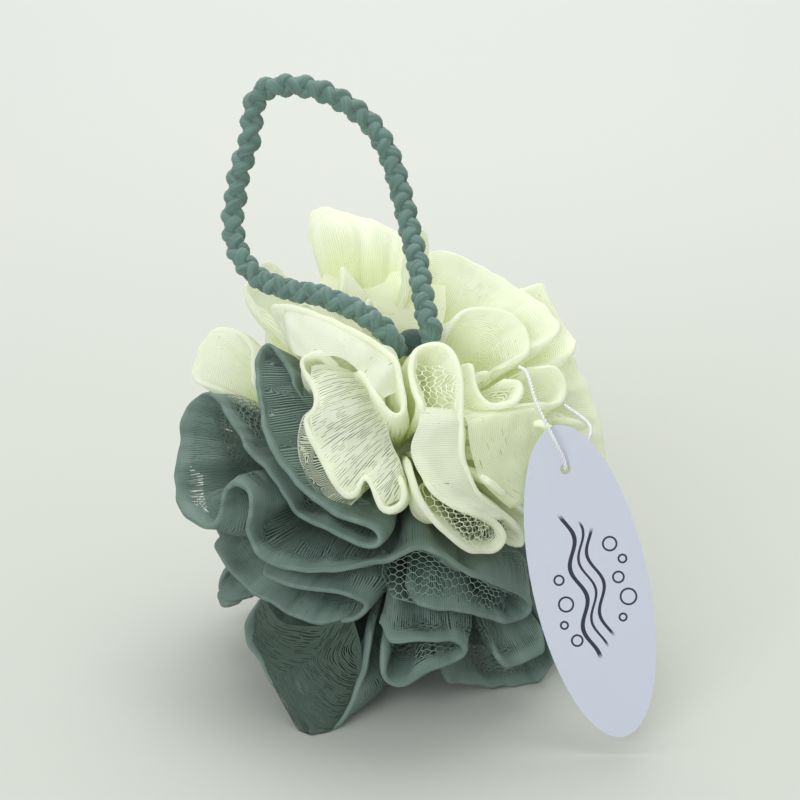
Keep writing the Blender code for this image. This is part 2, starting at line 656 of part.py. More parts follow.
def add_string(collection):
    """Down the tag's front, through its hole and up behind it, both ends in the folds."""
    down, wide, normal, middle = tag_axes()
    hole = middle - down * (TAG_LENGTH / 2 - TAG_HOLE_FROM_TOP)
    clear = TAG_THICKNESS / 2 + STRING_RADIUS + GAP
    above = hole - down * STRING_TURN
    inside = hole - down * STRING_HOLE_RISE
    turn = [above + normal * (clear + STRING_STAND_OFF), inside + normal * clear * STRING_HOLE_SHARE,
            inside - normal * clear * STRING_HOLE_SHARE, above - normal * (clear + STRING_STAND_OFF)]
    route = [seen(*p) for p in STRING_START] + turn + [seen(*p) for p in STRING_END]
    return tube("tag_string", smooth_route(route, STRING_POINT_STEP), STRING_RADIUS, collection)


def centre_over_origin(parts, cutters, nets):
    """Carry every part on an empty that puts the middle of the two nets over the origin."""
    bpy.context.view_layer.update()
    depsgraph = bpy.context.evaluated_depsgraph_get()
    corners = []
    for net in nets:
        shape = net.evaluated_get(depsgraph)
        for v in shape.to_mesh().vertices:
            corners.append(v.co[:])
        shape.to_mesh_clear()
    corners = np.array(corners)
    middle = (corners.min(0) + corners.max(0)) / 2
    origin = bpy.data.objects.new("pouf_origin", None)
    parts.objects.link(origin)
    for obj in list(parts.objects) + list(cutters.objects):
        if obj is not origin:
            obj.parent = origin
    origin.location = (-middle[0], -middle[1], 0.0)


def finish_material(obj, name, colour, roughness):
    material = bpy.data.materials.new(name)
    material.use_nodes = True
    shader = material.node_tree.nodes["Principled BSDF"]
    shader.inputs["Base Color"].default_value = (*colour, 1.0)
    shader.inputs["Roughness"].default_value = roughness
    shader.inputs["Metallic"].default_value = 0.0
    obj.data.materials.append(material)


def main():
    for obj in list(bpy.data.objects):
        bpy.data.objects.remove(obj, do_unlink=True)
    parts = bpy.data.collections.new("bath_pouf")
    cutters = bpy.data.collections.new("cutters")
    bpy.context.scene.collection.children.link(parts)
    bpy.context.scene.collection.children.link(cutters)

    folds = all_folds()
    cream = add_net("cream_net", True, folds, parts, cutters)
    sage = add_net("sage_net", False, folds, parts, cutters)
    tie = add_tie(parts)
    loop = add_loop(parts)
    knot = add_knot(parts)
    tag = add_tag(parts)
    string = add_string(parts)

    centre_over_origin(parts, cutters, (cream, sage))

    finish_material(cream, "cream netting", (0.78, 0.84, 0.49), 0.6)
    finish_material(sage, "sage netting", (0.13, 0.23, 0.19), 0.6)
    finish_material(tie, "white tie", (0.8, 0.8, 0.78), 0.7)
    finish_material(loop, "braided cord", (0.12, 0.22, 0.19), 0.7)
    finish_material(knot, "knotted cord", (0.12, 0.22, 0.19), 0.7)
    finish_material(tag, "tag card", (0.61, 0.66, 0.76), 0.5)
    finish_material(string, "white thread", (0.85, 0.86, 0.88), 0.6)


main()
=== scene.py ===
"""Bath pouf: the looks. Its folds run from rim to tie as in the solid part, in knitted netting."""
import math

import bpy
import numpy as np
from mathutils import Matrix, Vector


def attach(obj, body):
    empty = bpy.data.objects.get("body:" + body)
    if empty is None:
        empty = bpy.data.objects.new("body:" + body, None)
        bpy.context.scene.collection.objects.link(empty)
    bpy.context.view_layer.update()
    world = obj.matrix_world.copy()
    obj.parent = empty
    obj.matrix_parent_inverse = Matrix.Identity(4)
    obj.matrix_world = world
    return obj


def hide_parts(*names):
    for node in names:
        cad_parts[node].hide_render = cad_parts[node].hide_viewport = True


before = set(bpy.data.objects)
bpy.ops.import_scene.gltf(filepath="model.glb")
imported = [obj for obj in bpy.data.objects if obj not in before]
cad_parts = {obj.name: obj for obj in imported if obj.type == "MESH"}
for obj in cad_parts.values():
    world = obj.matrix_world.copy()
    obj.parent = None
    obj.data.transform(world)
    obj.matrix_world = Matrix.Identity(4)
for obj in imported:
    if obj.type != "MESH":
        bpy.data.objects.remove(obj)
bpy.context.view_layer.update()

MM = 0.001
TO_MM = 1000
GAP = 0.0003

# The pouf
TIE_HEIGHT = 0.063
LEAF_HALF_ANGLE = math.radians(1.0)
LEAF_CLEAR_ANGLE = math.radians(2.7)
PLAIN_CLEAR_ANGLE = math.radians(4.2)
SWIRL_START = 0.006
SWIRL_REACH = 0.060
UNSWIRL_PASSES = 20
CORE_RADIUS = 0.014
ROOT_SIDE_ANGLE = math.radians(13.0)
UPRIGHT_SIDE_ANGLE = math.radians(16.0)
LOOP_NEAREST = 1.6 * CORE_RADIUS
LEAST_FACING = 0.05

# The plain folds of the back, the underside and the gaps at the front
PLAIN_REACH = 0.061
FRONT_PLAIN_REACH = 0.046
FRONT_BLEND = 0.35
TOP_REACH_MORE = 0.008
UNDER_REACH_MORE = 0.012
UNDER_FROM = -0.6
EDGE_RIPPLE = 0.0022
EDGE_RIPPLES = 5
PLAIN_ROW_STEP = 20.0
PLAIN_WAVE = 9.0
PLAIN_DRIFT = 2.5
POLE_WIDTH = 0.3
PLAIN_WAVES = 8
FEWEST_WAVES = 3
PLAIN_DEGREE_STEP = 0.5
SHORTEST_FOLD = 0.012

# How closely a fold's points follow its curve
ROUTE_PARTS = 16
FOLD_STEP = 0.0010
SELF_APART = 0.0060
RELAX_PASSES = 5

# The hanging loop
CORD_RADIUS = 0.0034
CORD_ROOM = 0.0008

# The tag and its string
TAG_LENGTH = 0.089
TAG_WIDTH = 0.0325
TAG_THICKNESS = 0.0006
TAG_HOLE_FROM_TOP = 0.0125
TAG_LEAN = math.radians(12.3)
TAG_ROOM = 0.0024
STRING_RADIUS = 0.00055
STRING_TURN = 0.0028
STRING_STAND_OFF = STRING_TURN / 3
STRING_HOLE_RISE = 0.1 * STRING_TURN
STRING_HOLE_SHARE = 0.8

# Route points are in millimetres from the tie, as seen from the front and a little above: to the right, up,
# and toward the viewer. TIE is the tie's own place.
VIEW_TILT = math.radians(20.0)
ACROSS = np.array([1.0, 0.0, 0.0])
UPWARD = np.array([0.0, math.sin(VIEW_TILT), math.cos(VIEW_TILT)])
TOWARD = np.array([0.0, -math.cos(VIEW_TILT), math.sin(VIEW_TILT)])
CREAM_SIDE = np.array([0.40, 0.03, 0.916])
CREAM_SIDE = CREAM_SIDE / np.linalg.norm(CREAM_SIDE)
TIE = np.array([0.0021387, -0.0001972, TIE_HEIGHT])

SAGE_FOLDS = {
    "long front fold": [
        (-31, 19, 40), (-30, 22, 36), (-32, 26, 31), (-35, 30, 25), (-38, 33, 20), (-40, 32, 19),
        (-42, 26, 24), (-40, 17, 32), (-38, 7, 40), (-34, 0, 46), (-28, -7, 52), (-23, -11, 55),
        (-17, -15, 58), (-10, -17, 59), (-6, -19, 59), (-5, -22, 58), (-8, -24, 57), (-14, -22, 54),
        (-20, -19, 50), (-28, -16, 45), (-32, -11, 41), (-35, -7, 37), (-38, -3, 33), (-43, 1, 28),
        (-46, 5, 23), (-49, 10, 18), (-53, 15, 12), (-57, 19, 9), (-61, 17, 8), (-64, 13, 8), (-65, 6, 10),
        (-66, -3, 12), (-66, -10, 15), (-64, -15, 20), (-61, -18, 24), (-56, -20, 28), (-53, -19, 32),
        (-51, -15, 34), (-50, -10, 34), (-48, -7, 36), (-44, -8, 40), (-42, -11, 42), (-42, -15, 43),
        (-43, -20, 42), (-42, -23, 42), (-40, -27, 42), (-35, -30, 42), (-28, -31, 44), (-19, -31, 47),
        (-10, -29, 51), (-4, -28, 53), (0, -26, 54), (5, -24, 54), (11, -26, 52), (18, -31, 46),
        (26, -35, 39), (32, -38, 32), (37, -41, 27), (38, -45, 25), (34, -47, 26), (29, -47, 30),
        (23, -45, 34), (18, -43, 38), (9, -42, 42), (1, -40, 43)],
    "low left loop": [
        (-57, -23, 17), (-54, -27, 19), (-50, -32, 22), (-44, -38, 25), (-37, -42, 29), (-30, -45, 32),
        (-24, -47, 34), (-17, -47, 35), (-12, -45, 37), (-9, -42, 39), (-11, -40, 41), (-15, -38, 42),
        (-24, -37, 41), (-30, -36, 39), (-37, -34, 36), (-42, -31, 33)],
    "low middle loop": [
        (-7, -51, 41), (0, -51, 42), (9, -51, 41), (16, -52, 38), (19, -55, 34), (16, -58, 33),
        (9, -60, 34), (5, -63, 33), (0, -66, 31), (-4, -64, 32), (-5, -61, 34), (-6, -57, 36)],
    "front leaf": [
        (-46, -46, 14), (-46, -50, 16), (-44, -55, 19), (-41, -59, 22), (-38, -64, 24), (-34, -69, 26),
        (-30, -73, 28), (-25, -77, 29), (-20, -78, 30), (-17, -76, 30), (-14, -71, 31), (-12, -65, 32),
        (-10, -60, 33), (-10, -54, 35)],
    "low right leaf": [
        (11, -65, 22), (16, -66, 17), (24, -68, 11), (35, -69, 5), (42, -68, 3), (45, -64, 4), (46, -59, 6),
        (45, -54, 8), (43, -49, 11)],
    "left knob": [
        (-48, -32, 3), (-52, -34, 0), (-55, -39, -3), (-53, -44, -3), (-48, -46, -1)],
}
CREAM_FOLDS = {
    "slit panel": [
        (-19, 30, 46), (-24, 30, 44), (-28, 28, 42), (-26, 23, 45), (-24, 20, 47), (-23, 16, 49),
        (-24, 13, 50), (-27, 12, 50), (-25, 7, 52), (-22, 1, 55), (-18, -6, 58), (-15, -10, 59),
        (-12, -9, 60), (-10, -4, 60), (-8, -6, 61), (-6, -11, 62), (-4, -14, 62), (-1, -13, 62),
        (1, -11, 61), (1, -7, 60), (-2, -2, 58)],
    "long fold": [
        (-40, 44, 18), (-33, 44, 25), (-26, 42, 32), (-19, 39, 38), (-11, 35, 43), (-5, 31, 46),
        (-1, 27, 49), (0, 22, 52), (1, 17, 54), (1, 13, 56), (-1, 12, 57), (-4, 14, 56), (-7, 18, 54),
        (-10, 23, 51), (-14, 27, 49)],
    "arch": [
        (7, 11, 59), (6, 15, 57), (4, 20, 53), (3, 25, 48), (4, 30, 44), (7, 32, 42), (11, 33, 42),
        (14, 31, 44), (16, 27, 47), (17, 23, 50), (17, 16, 53), (17, 8, 56), (17, 1, 57), (19, -4, 57),
        (22, -10, 54), (27, -14, 49), (32, -18, 43), (35, -22, 38), (35, -26, 37), (32, -27, 39)],
    "long drop": [
        (6, 3, 59), (6, -2, 60), (8, -7, 61), (11, -10, 60), (16, -13, 59), (22, -15, 55), (26, -17, 51),
        (29, -21, 47), (29, -24, 45), (27, -26, 45), (24, -26, 47), (19, -25, 51), (14, -21, 56),
        (9, -16, 60), (5, -10, 62), (3, -4, 61), (2, 1, 60)],
    "rosette": [
        (20, 30, 34), (21, 23, 40), (22, 18, 43), (25, 15, 44), (29, 15, 43), (33, 16, 40), (35, 20, 36),
        (34, 25, 31)],
    "high back lobe": [
        (-28, 59, -22), (-32, 66, -25), (-31, 72, -27), (-28, 76, -28), (-23, 77, -28), (-16, 75, -28),
        (-9, 73, -27), (-1, 69, -26), (4, 65, -23), (8, 64, -18), (12, 64, -15), (17, 62, -12),
        (22, 59, -9), (29, 55, -6), (36, 50, -3), (42, 46, 0), (46, 42, 3), (48, 38, 6), (45, 35, 10),
        (41, 34, 12)],
    "right roll": [
        (13, 34, 22), (15, 39, 18), (19, 43, 14), (25, 44, 12), (31, 43, 11), (35, 40, 11), (38, 36, 13),
        (38, 31, 17), (35, 29, 22)],
    "right rim": [
        (46, 33, -10), (50, 32, -10), (53, 29, -9), (56, 23, -8), (59, 16, -7), (61, 9, -5), (62, 1, -3),
        (61, -6, 0), (58, -13, 4), (53, -17, 8), (49, -15, 13)],
    "right cup": [
        (43, 29, 14), (47, 26, 12), (49, 21, 12), (48, 16, 16), (43, 15, 22), (40, 16, 27)],
    "back left lobe": [
        (-24, 45, 5), (-28, 51, -6), (-31, 56, -9), (-36, 59, -10), (-41, 59, -8), (-44, 55, -4),
        (-47, 51, 0), (-46, 47, 5)],
    "left rosette": [
        (-43, 19, 18), (-44, 25, 13), (-44, 31, 9), (-46, 35, 6), (-50, 38, 3), (-55, 38, 1), (-58, 36, -1),
        (-61, 31, -2), (-63, 26, -2), (-61, 22, 1), (-57, 22, 5)],
    "left swirl": [
        (-55, 34, 6), (-54, 30, 9), (-51, 28, 12), (-48, 30, 13), (-48, 34, 12)],
    "right slope": [
        (21, -3, 55), (26, -7, 51), (31, -11, 46), (36, -15, 40), (40, -19, 35), (39, -25, 32)],
    "right side": [
        (39, 11, 40), (44, 8, 36), (48, 3, 31), (49, -3, 30), (47, -9, 32), (42, -12, 37), (39, -10, 42)],
}
LOOP_ROUTE = [
    (-1, 32, 24), (-2, 31, 28), (-2, 33, 33), (-5, 37, 33), (-9, 40, 31), (-14, 43, 28), (-19, 45, 26),
    (-24, 47, 23), (-30, 48, 19), (-36, 50, 15), (-41, 52, 11), (-46, 57, 8), (-49, 63, 5), (-50, 71, 3),
    (-49, 78, 2), (-48, 85, 2), (-45, 94, 2), (-44, 103, 2), (-42, 108, 3), (-37, 110, 4), (-29, 110, 4),
    (-22, 108, 4), (-15, 104, 5), (-9, 99, 5), (-5, 93, 6), (-2, 86, 7), (1, 75, 9), (3, 66, 12),
    (5, 57, 16), (6, 51, 20), (7, 44, 24), (8, 39, 27), (9, 36, 28), (9, 34, 25)]
TAG_MIDDLE = (53, -34, 43)
STRING_START = [(34, 26, 30), (36, 24, 36), (38, 16, 43), (42, 7, 47)]
STRING_END = [(50, 1, 39), (54, 6, 33), (54, 10, 26), (48, 15, 18)]


def seen(right, up, toward):
    """The place, from the tie, of a point given as the viewer sees it."""
    return (right * ACROSS + up * UPWARD + toward * TOWARD) * MM


def unit(v):
    return v / np.linalg.norm(v, axis=-1, keepdims=True)


def run_along(points):
    """How far along the points each one lies."""
    return np.concatenate([[0], np.cumsum(np.linalg.norm(np.diff(points, axis=0), axis=1))])


def points_at(at, run, points):
    """The places at these lengths along the points' run."""
    return np.stack([np.interp(at, run, points[:, k]) for k in range(3)], 1)


def turned(v, angle):
    """v turned about the viewing direction; angle may differ from point to point."""
    angle = np.asarray(angle)[..., None]
    along = (v @ TOWARD)[..., None] * TOWARD
    return v * np.cos(angle) + np.cross(TOWARD, v) * np.sin(angle) + along * (1 - np.cos(angle))


def swirl(v):
    """Each line from the tie to a fold's edge starts a little to one side, so the folds lean round."""
    reach = np.linalg.norm(v, axis=-1, keepdims=True)
    return v + SWIRL_START * (1 - reach / SWIRL_REACH) * np.cross(TOWARD, v / reach)


def unswirl(p):
    """The fold direction and reach, as one vector, that swirl brings to p."""
    depth = p @ TOWARD
    around2 = (p * p).sum(-1) - depth ** 2
    reach = np.linalg.norm(p, axis=-1)
    for _ in range(UNSWIRL_PASSES):
        start = SWIRL_START * (1 - reach / SWIRL_REACH)
        reach = np.sqrt(depth ** 2 + around2 * reach ** 2 / (reach ** 2 + start ** 2))
    start = SWIRL_START * (1 - reach / SWIRL_REACH)
    along = depth[..., None] * TOWARD
    back = turned(p - along, -np.arctan2(start, reach)) * (reach / np.hypot(reach, start))[..., None]
    return along + back


CORE_AXIS = unit(swirl(CREAM_SIDE * CORE_RADIUS))


def smooth_route(points, step):
    """Points at an even step along a smooth curve through the route's points."""
    p = np.array(points, float)
    ends = np.vstack([2 * p[0] - p[1], p, 2 * p[-1] - p[-2]])
    t = np.linspace(0, 1, ROUTE_PARTS, endpoint=False)[:, None]
    spans = []
    for a, b, c, d in zip(ends[:-3], ends[1:-2], ends[2:-1], ends[3:]):
        spans.append(0.5 * (2 * b + (c - a) * t + (2 * a - 5 * b + 4 * c - d) * t ** 2
                            + (3 * b - a - 3 * c + d) * t ** 3))
    curve = np.vstack(spans + [p[-1:]])
    run = run_along(curve)
    at = np.linspace(0, run[-1], max(3, round(run[-1] / step) + 1))
    return points_at(at, run, curve)


def frame_about(axis):
    """Two directions square to the axis."""
    side = unit(np.cross(axis, TOWARD))
    return side, np.cross(axis, side)


def loop_spheres():
    """Balls along the loop that the folds stay clear of."""
    half_leaf = PLAIN_REACH * math.tan(LEAF_HALF_ANGLE)
    route = smooth_route([seen(*p) for p in LOOP_ROUTE], CORD_RADIUS)
    return route, CORD_RADIUS + half_leaf + CORD_ROOM


def tag_axes():
    """The tag's long axis (downward), its width axis, its normal and its middle."""
    down = math.sin(TAG_LEAN) * ACROSS - math.cos(TAG_LEAN) * UPWARD
    return down, np.cross(TOWARD, down), TOWARD, seen(*TAG_MIDDLE)


def floor_reach(directions):
    """How far along each direction the floor lies."""
    start = SWIRL_START * np.cross(TOWARD, directions)
    fall = -(directions - start / SWIRL_REACH)[..., 2]
    falls = fall > LEAST_FACING
    return np.where(falls, (TIE_HEIGHT + start[..., 2]) / np.where(falls, fall, 1.0), np.inf)


def clear_reach(directions, reach):
    """How far each fold may reach before it meets the floor, the loop or the tag."""
    reach = reach.copy()
    rays = unit(swirl(directions * reach[:, None]))
    spheres, radius = loop_spheres()
    along = rays @ spheres.T
    off = (spheres ** 2).sum(1)[None] - along ** 2
    entry = along - np.sqrt(np.maximum(radius ** 2 - off, 0))
    entry = np.where((off < radius ** 2) & (along > 0), entry, np.inf)
    reach = np.minimum(reach, np.maximum(entry.min(1), LOOP_NEAREST))
    down, wide, normal, middle = tag_axes()
    facing = rays @ normal
    hit = ((middle @ normal) - TAG_ROOM) / np.where(facing > LEAST_FACING, facing, np.inf)
    where = rays * hit[:, None] - middle
    length_share = (where @ down) / (TAG_LENGTH / 2 + TAG_ROOM)
    width_share = (where @ wide) / (TAG_WIDTH / 2 + TAG_ROOM)
    behind_tag = (facing > LEAST_FACING) & (length_share ** 2 + width_share ** 2 < 1)
    reach = np.where(behind_tag, np.minimum(reach, hit), reach)
    return np.minimum(reach, floor_reach(directions))


def rooted(directions, is_cream):
    """Where a fold lies over its own net's half of the middle, and so joins it."""
    facing = directions @ CREAM_SIDE * (1 if is_cream else -1)
    return facing > math.sin(ROOT_SIDE_ANGLE)


def clear_runs(directions, reach, taken, clear_angle):
    """The stretches of a fold that keep clear of the folds already made, and of themselves."""
    limit = math.cos(clear_angle)
    free = np.ones(len(directions), bool)
    if len(taken):
        free = np.max(directions @ np.vstack(taken).T, axis=1) < limit
    apart = round(SELF_APART / FOLD_STEP)
    runs = []
    start = 0
    for i in range(len(directions) + 1):
        if i < len(directions) and free[i]:
            before = directions[:max(0, i - apart)][free[:max(0, i - apart)]]
            free[i] = not len(before) or np.max(before @ directions[i]) < limit
        if i == len(directions) or not free[i]:
            if (i - start) * FOLD_STEP > SHORTEST_FOLD:
                runs.append((directions[start:i], reach[start:i]))
            else:
                free[start:i] = False
            start = i + 1
    return runs


def relaxed(curve):
    """The curve with its tightest turns opened a little."""
    for _ in range(RELAX_PASSES):
        curve = np.vstack([curve[:1], (curve[:-2] + 2 * curve[1:-1] + curve[2:]) / 4, curve[-1:]])
    return curve


def traced_fold(points):
    """The directions and the reach of a fold whose rim is given as seen."""
    rim = relaxed(smooth_route([seen(*p) for p in points], FOLD_STEP))
    base = unswirl(rim)
    return unit(base), np.linalg.norm(base, axis=1)


def plain_folds():
    """Waved rows round the cream side's axis, from the cream pole to the sage pole."""
    side, other = frame_about(CREAM_SIDE)
    rows = []
    count = int(180.0 / PLAIN_ROW_STEP)
    for row in range(count):
        middle = (row + 0.5) * PLAIN_ROW_STEP
        around = np.radians(np.arange(0, 360.0, PLAIN_DEGREE_STEP))
        width = math.sin(math.radians(middle))
        if width < POLE_WIDTH and middle < 90.0:
            continue
        waves = max(FEWEST_WAVES, round(PLAIN_WAVES * width))
        wave = PLAIN_WAVE * min(1.0, max(0.0, 2.0 * (width - POLE_WIDTH)))
        polar = np.radians(middle + wave * np.sin(waves * around)
                           + PLAIN_DRIFT * np.sin(2 * around + row))
        d = (np.cos(polar)[:, None] * CREAM_SIDE
             + (np.sin(polar) * np.cos(around))[:, None] * side
             + (np.sin(polar) * np.sin(around))[:, None] * other)
        front = np.clip((d @ TOWARD) / FRONT_BLEND, 0, 1)
        reach = PLAIN_REACH + (FRONT_PLAIN_REACH - PLAIN_REACH) * front
        reach = reach + TOP_REACH_MORE * np.clip(d[:, 2], 0, 1) * (1 - front)
        reach = reach + EDGE_RIPPLE * np.sin(EDGE_RIPPLES * around + 2 * row)
        reach = np.where(d[:, 2] < UNDER_FROM, PLAIN_REACH + UNDER_REACH_MORE, reach)
        curve = d * reach[:, None]
        run = run_along(curve)
        even = points_at(np.arange(0, run[-1], FOLD_STEP), run, curve)
        rows.append((middle < 90.0, unit(even), np.linalg.norm(even, axis=1)))
    return rows


def all_folds():
    """Every fold as (is cream, directions, reach), none nearer to another than the clear angle."""
    taken = []
    folds = []
    for is_cream, group in ((False, SAGE_FOLDS), (True, CREAM_FOLDS)):
        for points in group.values():
            added = clear_runs(*traced_fold(points), taken, LEAF_CLEAR_ANGLE)
            added = [(d, reach) for d, reach in added if rooted(d, is_cream).any()]
            folds.extend((is_cream, d, reach) for d, reach in added)
            taken.extend(d for d, reach in added)
    for is_cream, directions, reaches in plain_folds():
        added = clear_runs(directions, reaches, taken, PLAIN_CLEAR_ANGLE)
        added = [(d, reach) for d, reach in added if rooted(d, is_cream).any()]
        folds.extend((is_cream, d, reach) for d, reach in added)
        taken.extend(d for d, reach in added)
    return folds


# How finely the folds are drawn: stations along the rim, turns round it, levels from there to the tie
FINE_STEP = 0.0009
FEWEST_STATIONS = 6
CAP_TURNS = (0.0, 30.0, 60.0, 90.0)
DEPTH_SHARES = (0.03, 0.07, 0.12, 0.18, 0.25, 0.33, 0.42, 0.52, 0.64, 0.80, 1.0)
LAYER_INNER = 0.0115
LEAST_DEPTH = 0.001
FLOOR_CLEAR = 0.0002
RIM_ROUND = (0.00035, 0.00090)
RIM_SHARE = 0.80
CLOSING_RUN = 0.0025
END_DROP = 0.006

# How much of the space beside it a fold takes, and how it leans into the wider side; near and blur count
# stations
CLEAR_USED = 0.86
CUT_NEAR, CUT_BLUR = 8, 6
HALF_NEAR, HALF_BLUR = 2, 3
HALF_ANGLES = (0.010, 0.075)
ANGLE_MARGIN = 0.0025
LEAN_SHARE = 0.80
LEAN_DEPTH_MM = 12.0
LEAN_RUN = 0.008
LEAN_BLUR = 8
SIDE_SLICE = 0.035
SIDE_FACING = 0.7
SIDE_CLEAR = 1.3
WIDEST_FREE = 0.42
EAGER_SPOTS = [(-24, 10, 7, 24)]
EAGER_FRONT = 20.0
EAGER_SHARE = 0.38
TURN_SHARE = 0.6
TURN_BLUR = 2
TURN_NEAR = 3

# Where the cream folds dip behind the loop's root: right, up and toward, half widths and depth
DIP_MIDDLE = (-0.010, 0.045, -0.006)
DIP_HALF_WIDE = 0.016
DIP_HALF_HIGH = 0.018
DIP_HALF_DEEP = 0.020
DIP_EDGE = 0.006
DIP = 0.032

# The net's unevenness: how much, and the waves' lengths in mm along and down the fold
REACH_RIPPLE, REACH_WAVE = 0.00035, 11
RIM_RIPPLE, RIM_WAVE = 0.25, 19
FLARE, FLARE_DEPTH_MM, FLARE_WAVES = 2.2, 12, (23, 40)
SWAY, SWAY_DEPTH_MM, SWAY_WAVES = 0.0013, 6, (21, 26)
PLEAT, PLEAT_DEPTH_MM, PLEAT_WAVES = 0.0003, 5, (6.0, 60)
KNIT_WAVES = (31, 22)
LADDER_WAVES = (46, 45)
SEEDS = {"rim": 50, "flare": 9, "sway": 5, "pleat": 7, "knit": 31, "ladder": 77, "face": 3}

# The knit: how open each net is where no spot says more, its rows and its columns in mm
CREAM_OPEN, CREAM_OPEN_POWER = 0.02, 3
SAGE_OPEN, SAGE_OPEN_POWER = 0.07, 2
OPEN_MORE = 0.36
DEEP_FROM_MM, DEEP_RUN_MM, DEEP_CLOSED = 22, 14, 0.6
RIM_CLOSED_MM, RIM_OPENING_MM = 2.0, 4.0
CLOSED_PITCH = 0.30
OPEN_PITCH = 1.35
PITCH_POWER = 2.2
COLUMN_MM = 4.0
# The painted depth shade is reckoned as a share of this depth into a fold, in mm
DEPTH_SHADE_MM = 45

# The stretches of net that show their face
FACE_STATIONS = 90
FACE_LEVELS = 26
FACE_EDGE_STEP = 0.0004
FACE_FLOOR_CLEAR = 0.0003
FACE_RIPPLE_MM, FACE_RIPPLE_WAVE = 0.35, 9
FACE_DIVE_RUN_MM = 6.0
FACE_OPEN_CHANGE, FACE_OPEN_WAVE = 0.15, 14
FACE_CLOSED_EDGE_MM = 0.9
FACE_CLOSED_END_MM = 1.5

# The gathers
GATHER_LEVELS = 18
GATHER_STATIONS = 73
GATHER_DEGREES = 84.0
GATHER_PLEATS = 24
GATHER_PLEAT = 0.035

# Spots of the netting that are stretched open or laddered, as seen from the front:
# to the right and up in mm, half width, half height, how open, how laddered.
CREAM_SPOTS = [
    (21, -18, 9, 5, 0.9, 0.0), (16, -12, 6, 4, 0.7, 0.0), (-15, 8, 13, 20, 0.42, 0.8),
    (-23, -4, 7, 12, 0.62, 1.0), (27, 22, 9, 9, 0.45, 0.6), (40, 4, 12, 10, 0.35, 0.3)]
SAGE_SPOTS = [
    (-60, -4, 7, 16, 0.41, 0.0), (-46, 10, 6, 14, 0.8, 0.1),
    (-23, -21, 15, 8, 0.85, 1.0), (10, -52, 16, 6, 0.75, 0.0), (30, -60, 10, 6, 0.6, 0.1)]


# Stretches of net seen from their face, between two edges: points as in the fold tables, then how far below
# the straight line between them the net lies (mm, at the first edge, the middle and the second edge), how
# much deeper its two ends dive (mm), how open it is, how laddered, and how much painted depth shade it has.
CREAM_FACES = [
    ([(-26, 27, 43), (-25, 22, 45), (-23, 17, 48), (-25, 12, 50), (-24, 7, 52), (-21, 0, 55), (-17, -7, 58),
      (-13, -9, 59), (-9, -5, 60), (-5, -12, 61), (0, -11, 60)],
     [(-15, 27, 43), (-12, 24, 45), (-9, 20, 47), (-6, 15, 50), (-4, 11, 52), (-3, 7, 54), (-2, 4, 55),
      (-1, 2, 56), (0, 0, 57), (1, -3, 58), (2, -6, 59)],
     (0.4, -0.6, 2.5), 2.0, 0.34, 1.0, 0.06),
    ([(7, 31, 42), (4, 28, 45), (4, 22, 51), (6, 16, 56), (7, 11, 58)],
     [(12, 31, 43), (15, 28, 46), (16, 23, 50), (16, 16, 53), (16, 11, 55)],
     (0.6, 3.5, 0.6), 9.0, 0.95, 0.0, 0.20),
    ([(6, 15, 57), (5, 10, 59), (3, 4, 60), (4, -1, 61), (7, -6, 61), (11, -10, 60), (16, -13, 59),
      (22, -15, 55), (26, -17, 51)],
     [(17, 14, 54), (17, 8, 56), (17, 1, 57), (19, -4, 57), (22, -9, 54), (26, -13, 50), (31, -17, 44)],
     (0.7, -0.8, 0.7), 1.5, 0.06, 1.0, 0.08),
    ([(-32, 31, 37), (-28, 29, 41), (-23, 29, 44), (-18, 29, 46), (-14, 27, 48), (-10, 23, 51), (-8, 19, 53),
      (-6, 17, 54)],
     [(-37, 43, 21), (-32, 43, 26), (-25, 41, 33), (-19, 39, 37), (-12, 35, 42), (-5, 31, 45), (-1, 27, 48),
      (0, 20, 52)],
     (0.7, -1.0, 0.7), 3.0, 0.07, 0.0, 0.06),
    ([(-26, 16, 46), (-28, 11, 45), (-29, 5, 45), (-28, -1, 47), (-25, -7, 50), (-20, -12, 53),
      (-15, -14, 55)],
     [(-25, 13, 50), (-25, 9, 51), (-23, 4, 53), (-21, 0, 55), (-17, -7, 58), (-14, -9, 59), (-11, -10, 60)],
     (0.8, 0.8, 0.8), 3.0, 0.52, 1.0, 0.30),
    ([(-22, 62, -27), (-24, 56, -18), (-27, 50, -8), (-31, 45, 2), (-32, 41, 9), (-31, 37, 16)],
     [(14, 64, -26), (14, 57, -14), (14, 50, -3), (14, 45, 4), (13, 40, 10), (12, 35, 14)],
     (1.0, 2.0, 1.0), 1.0, 0.04, 0.0, 0.25),
    ([(8, -7, 60), (12, -11, 59), (17, -14, 57), (22, -16, 54), (26, -18, 50), (28, -21, 47)],
     [(5, -10, 61), (9, -16, 59), (14, -21, 55), (19, -24, 51), (24, -25, 47), (27, -25, 45)],
     (0.6, 3.0, 0.6), 7.0, 0.9, 0.0, 0.30),
    ([(19, 16, 49), (19, 9, 52), (20, 2, 53), (23, -6, 51), (29, -12, 45), (35, -17, 38)],
     [(37, 17, 35), (42, 11, 32), (45, 4, 30), (46, -3, 30), (45, -9, 31)],
     (1.0, -1.5, 1.0), 7.0, 0.12, 0.0, 0.30),
]
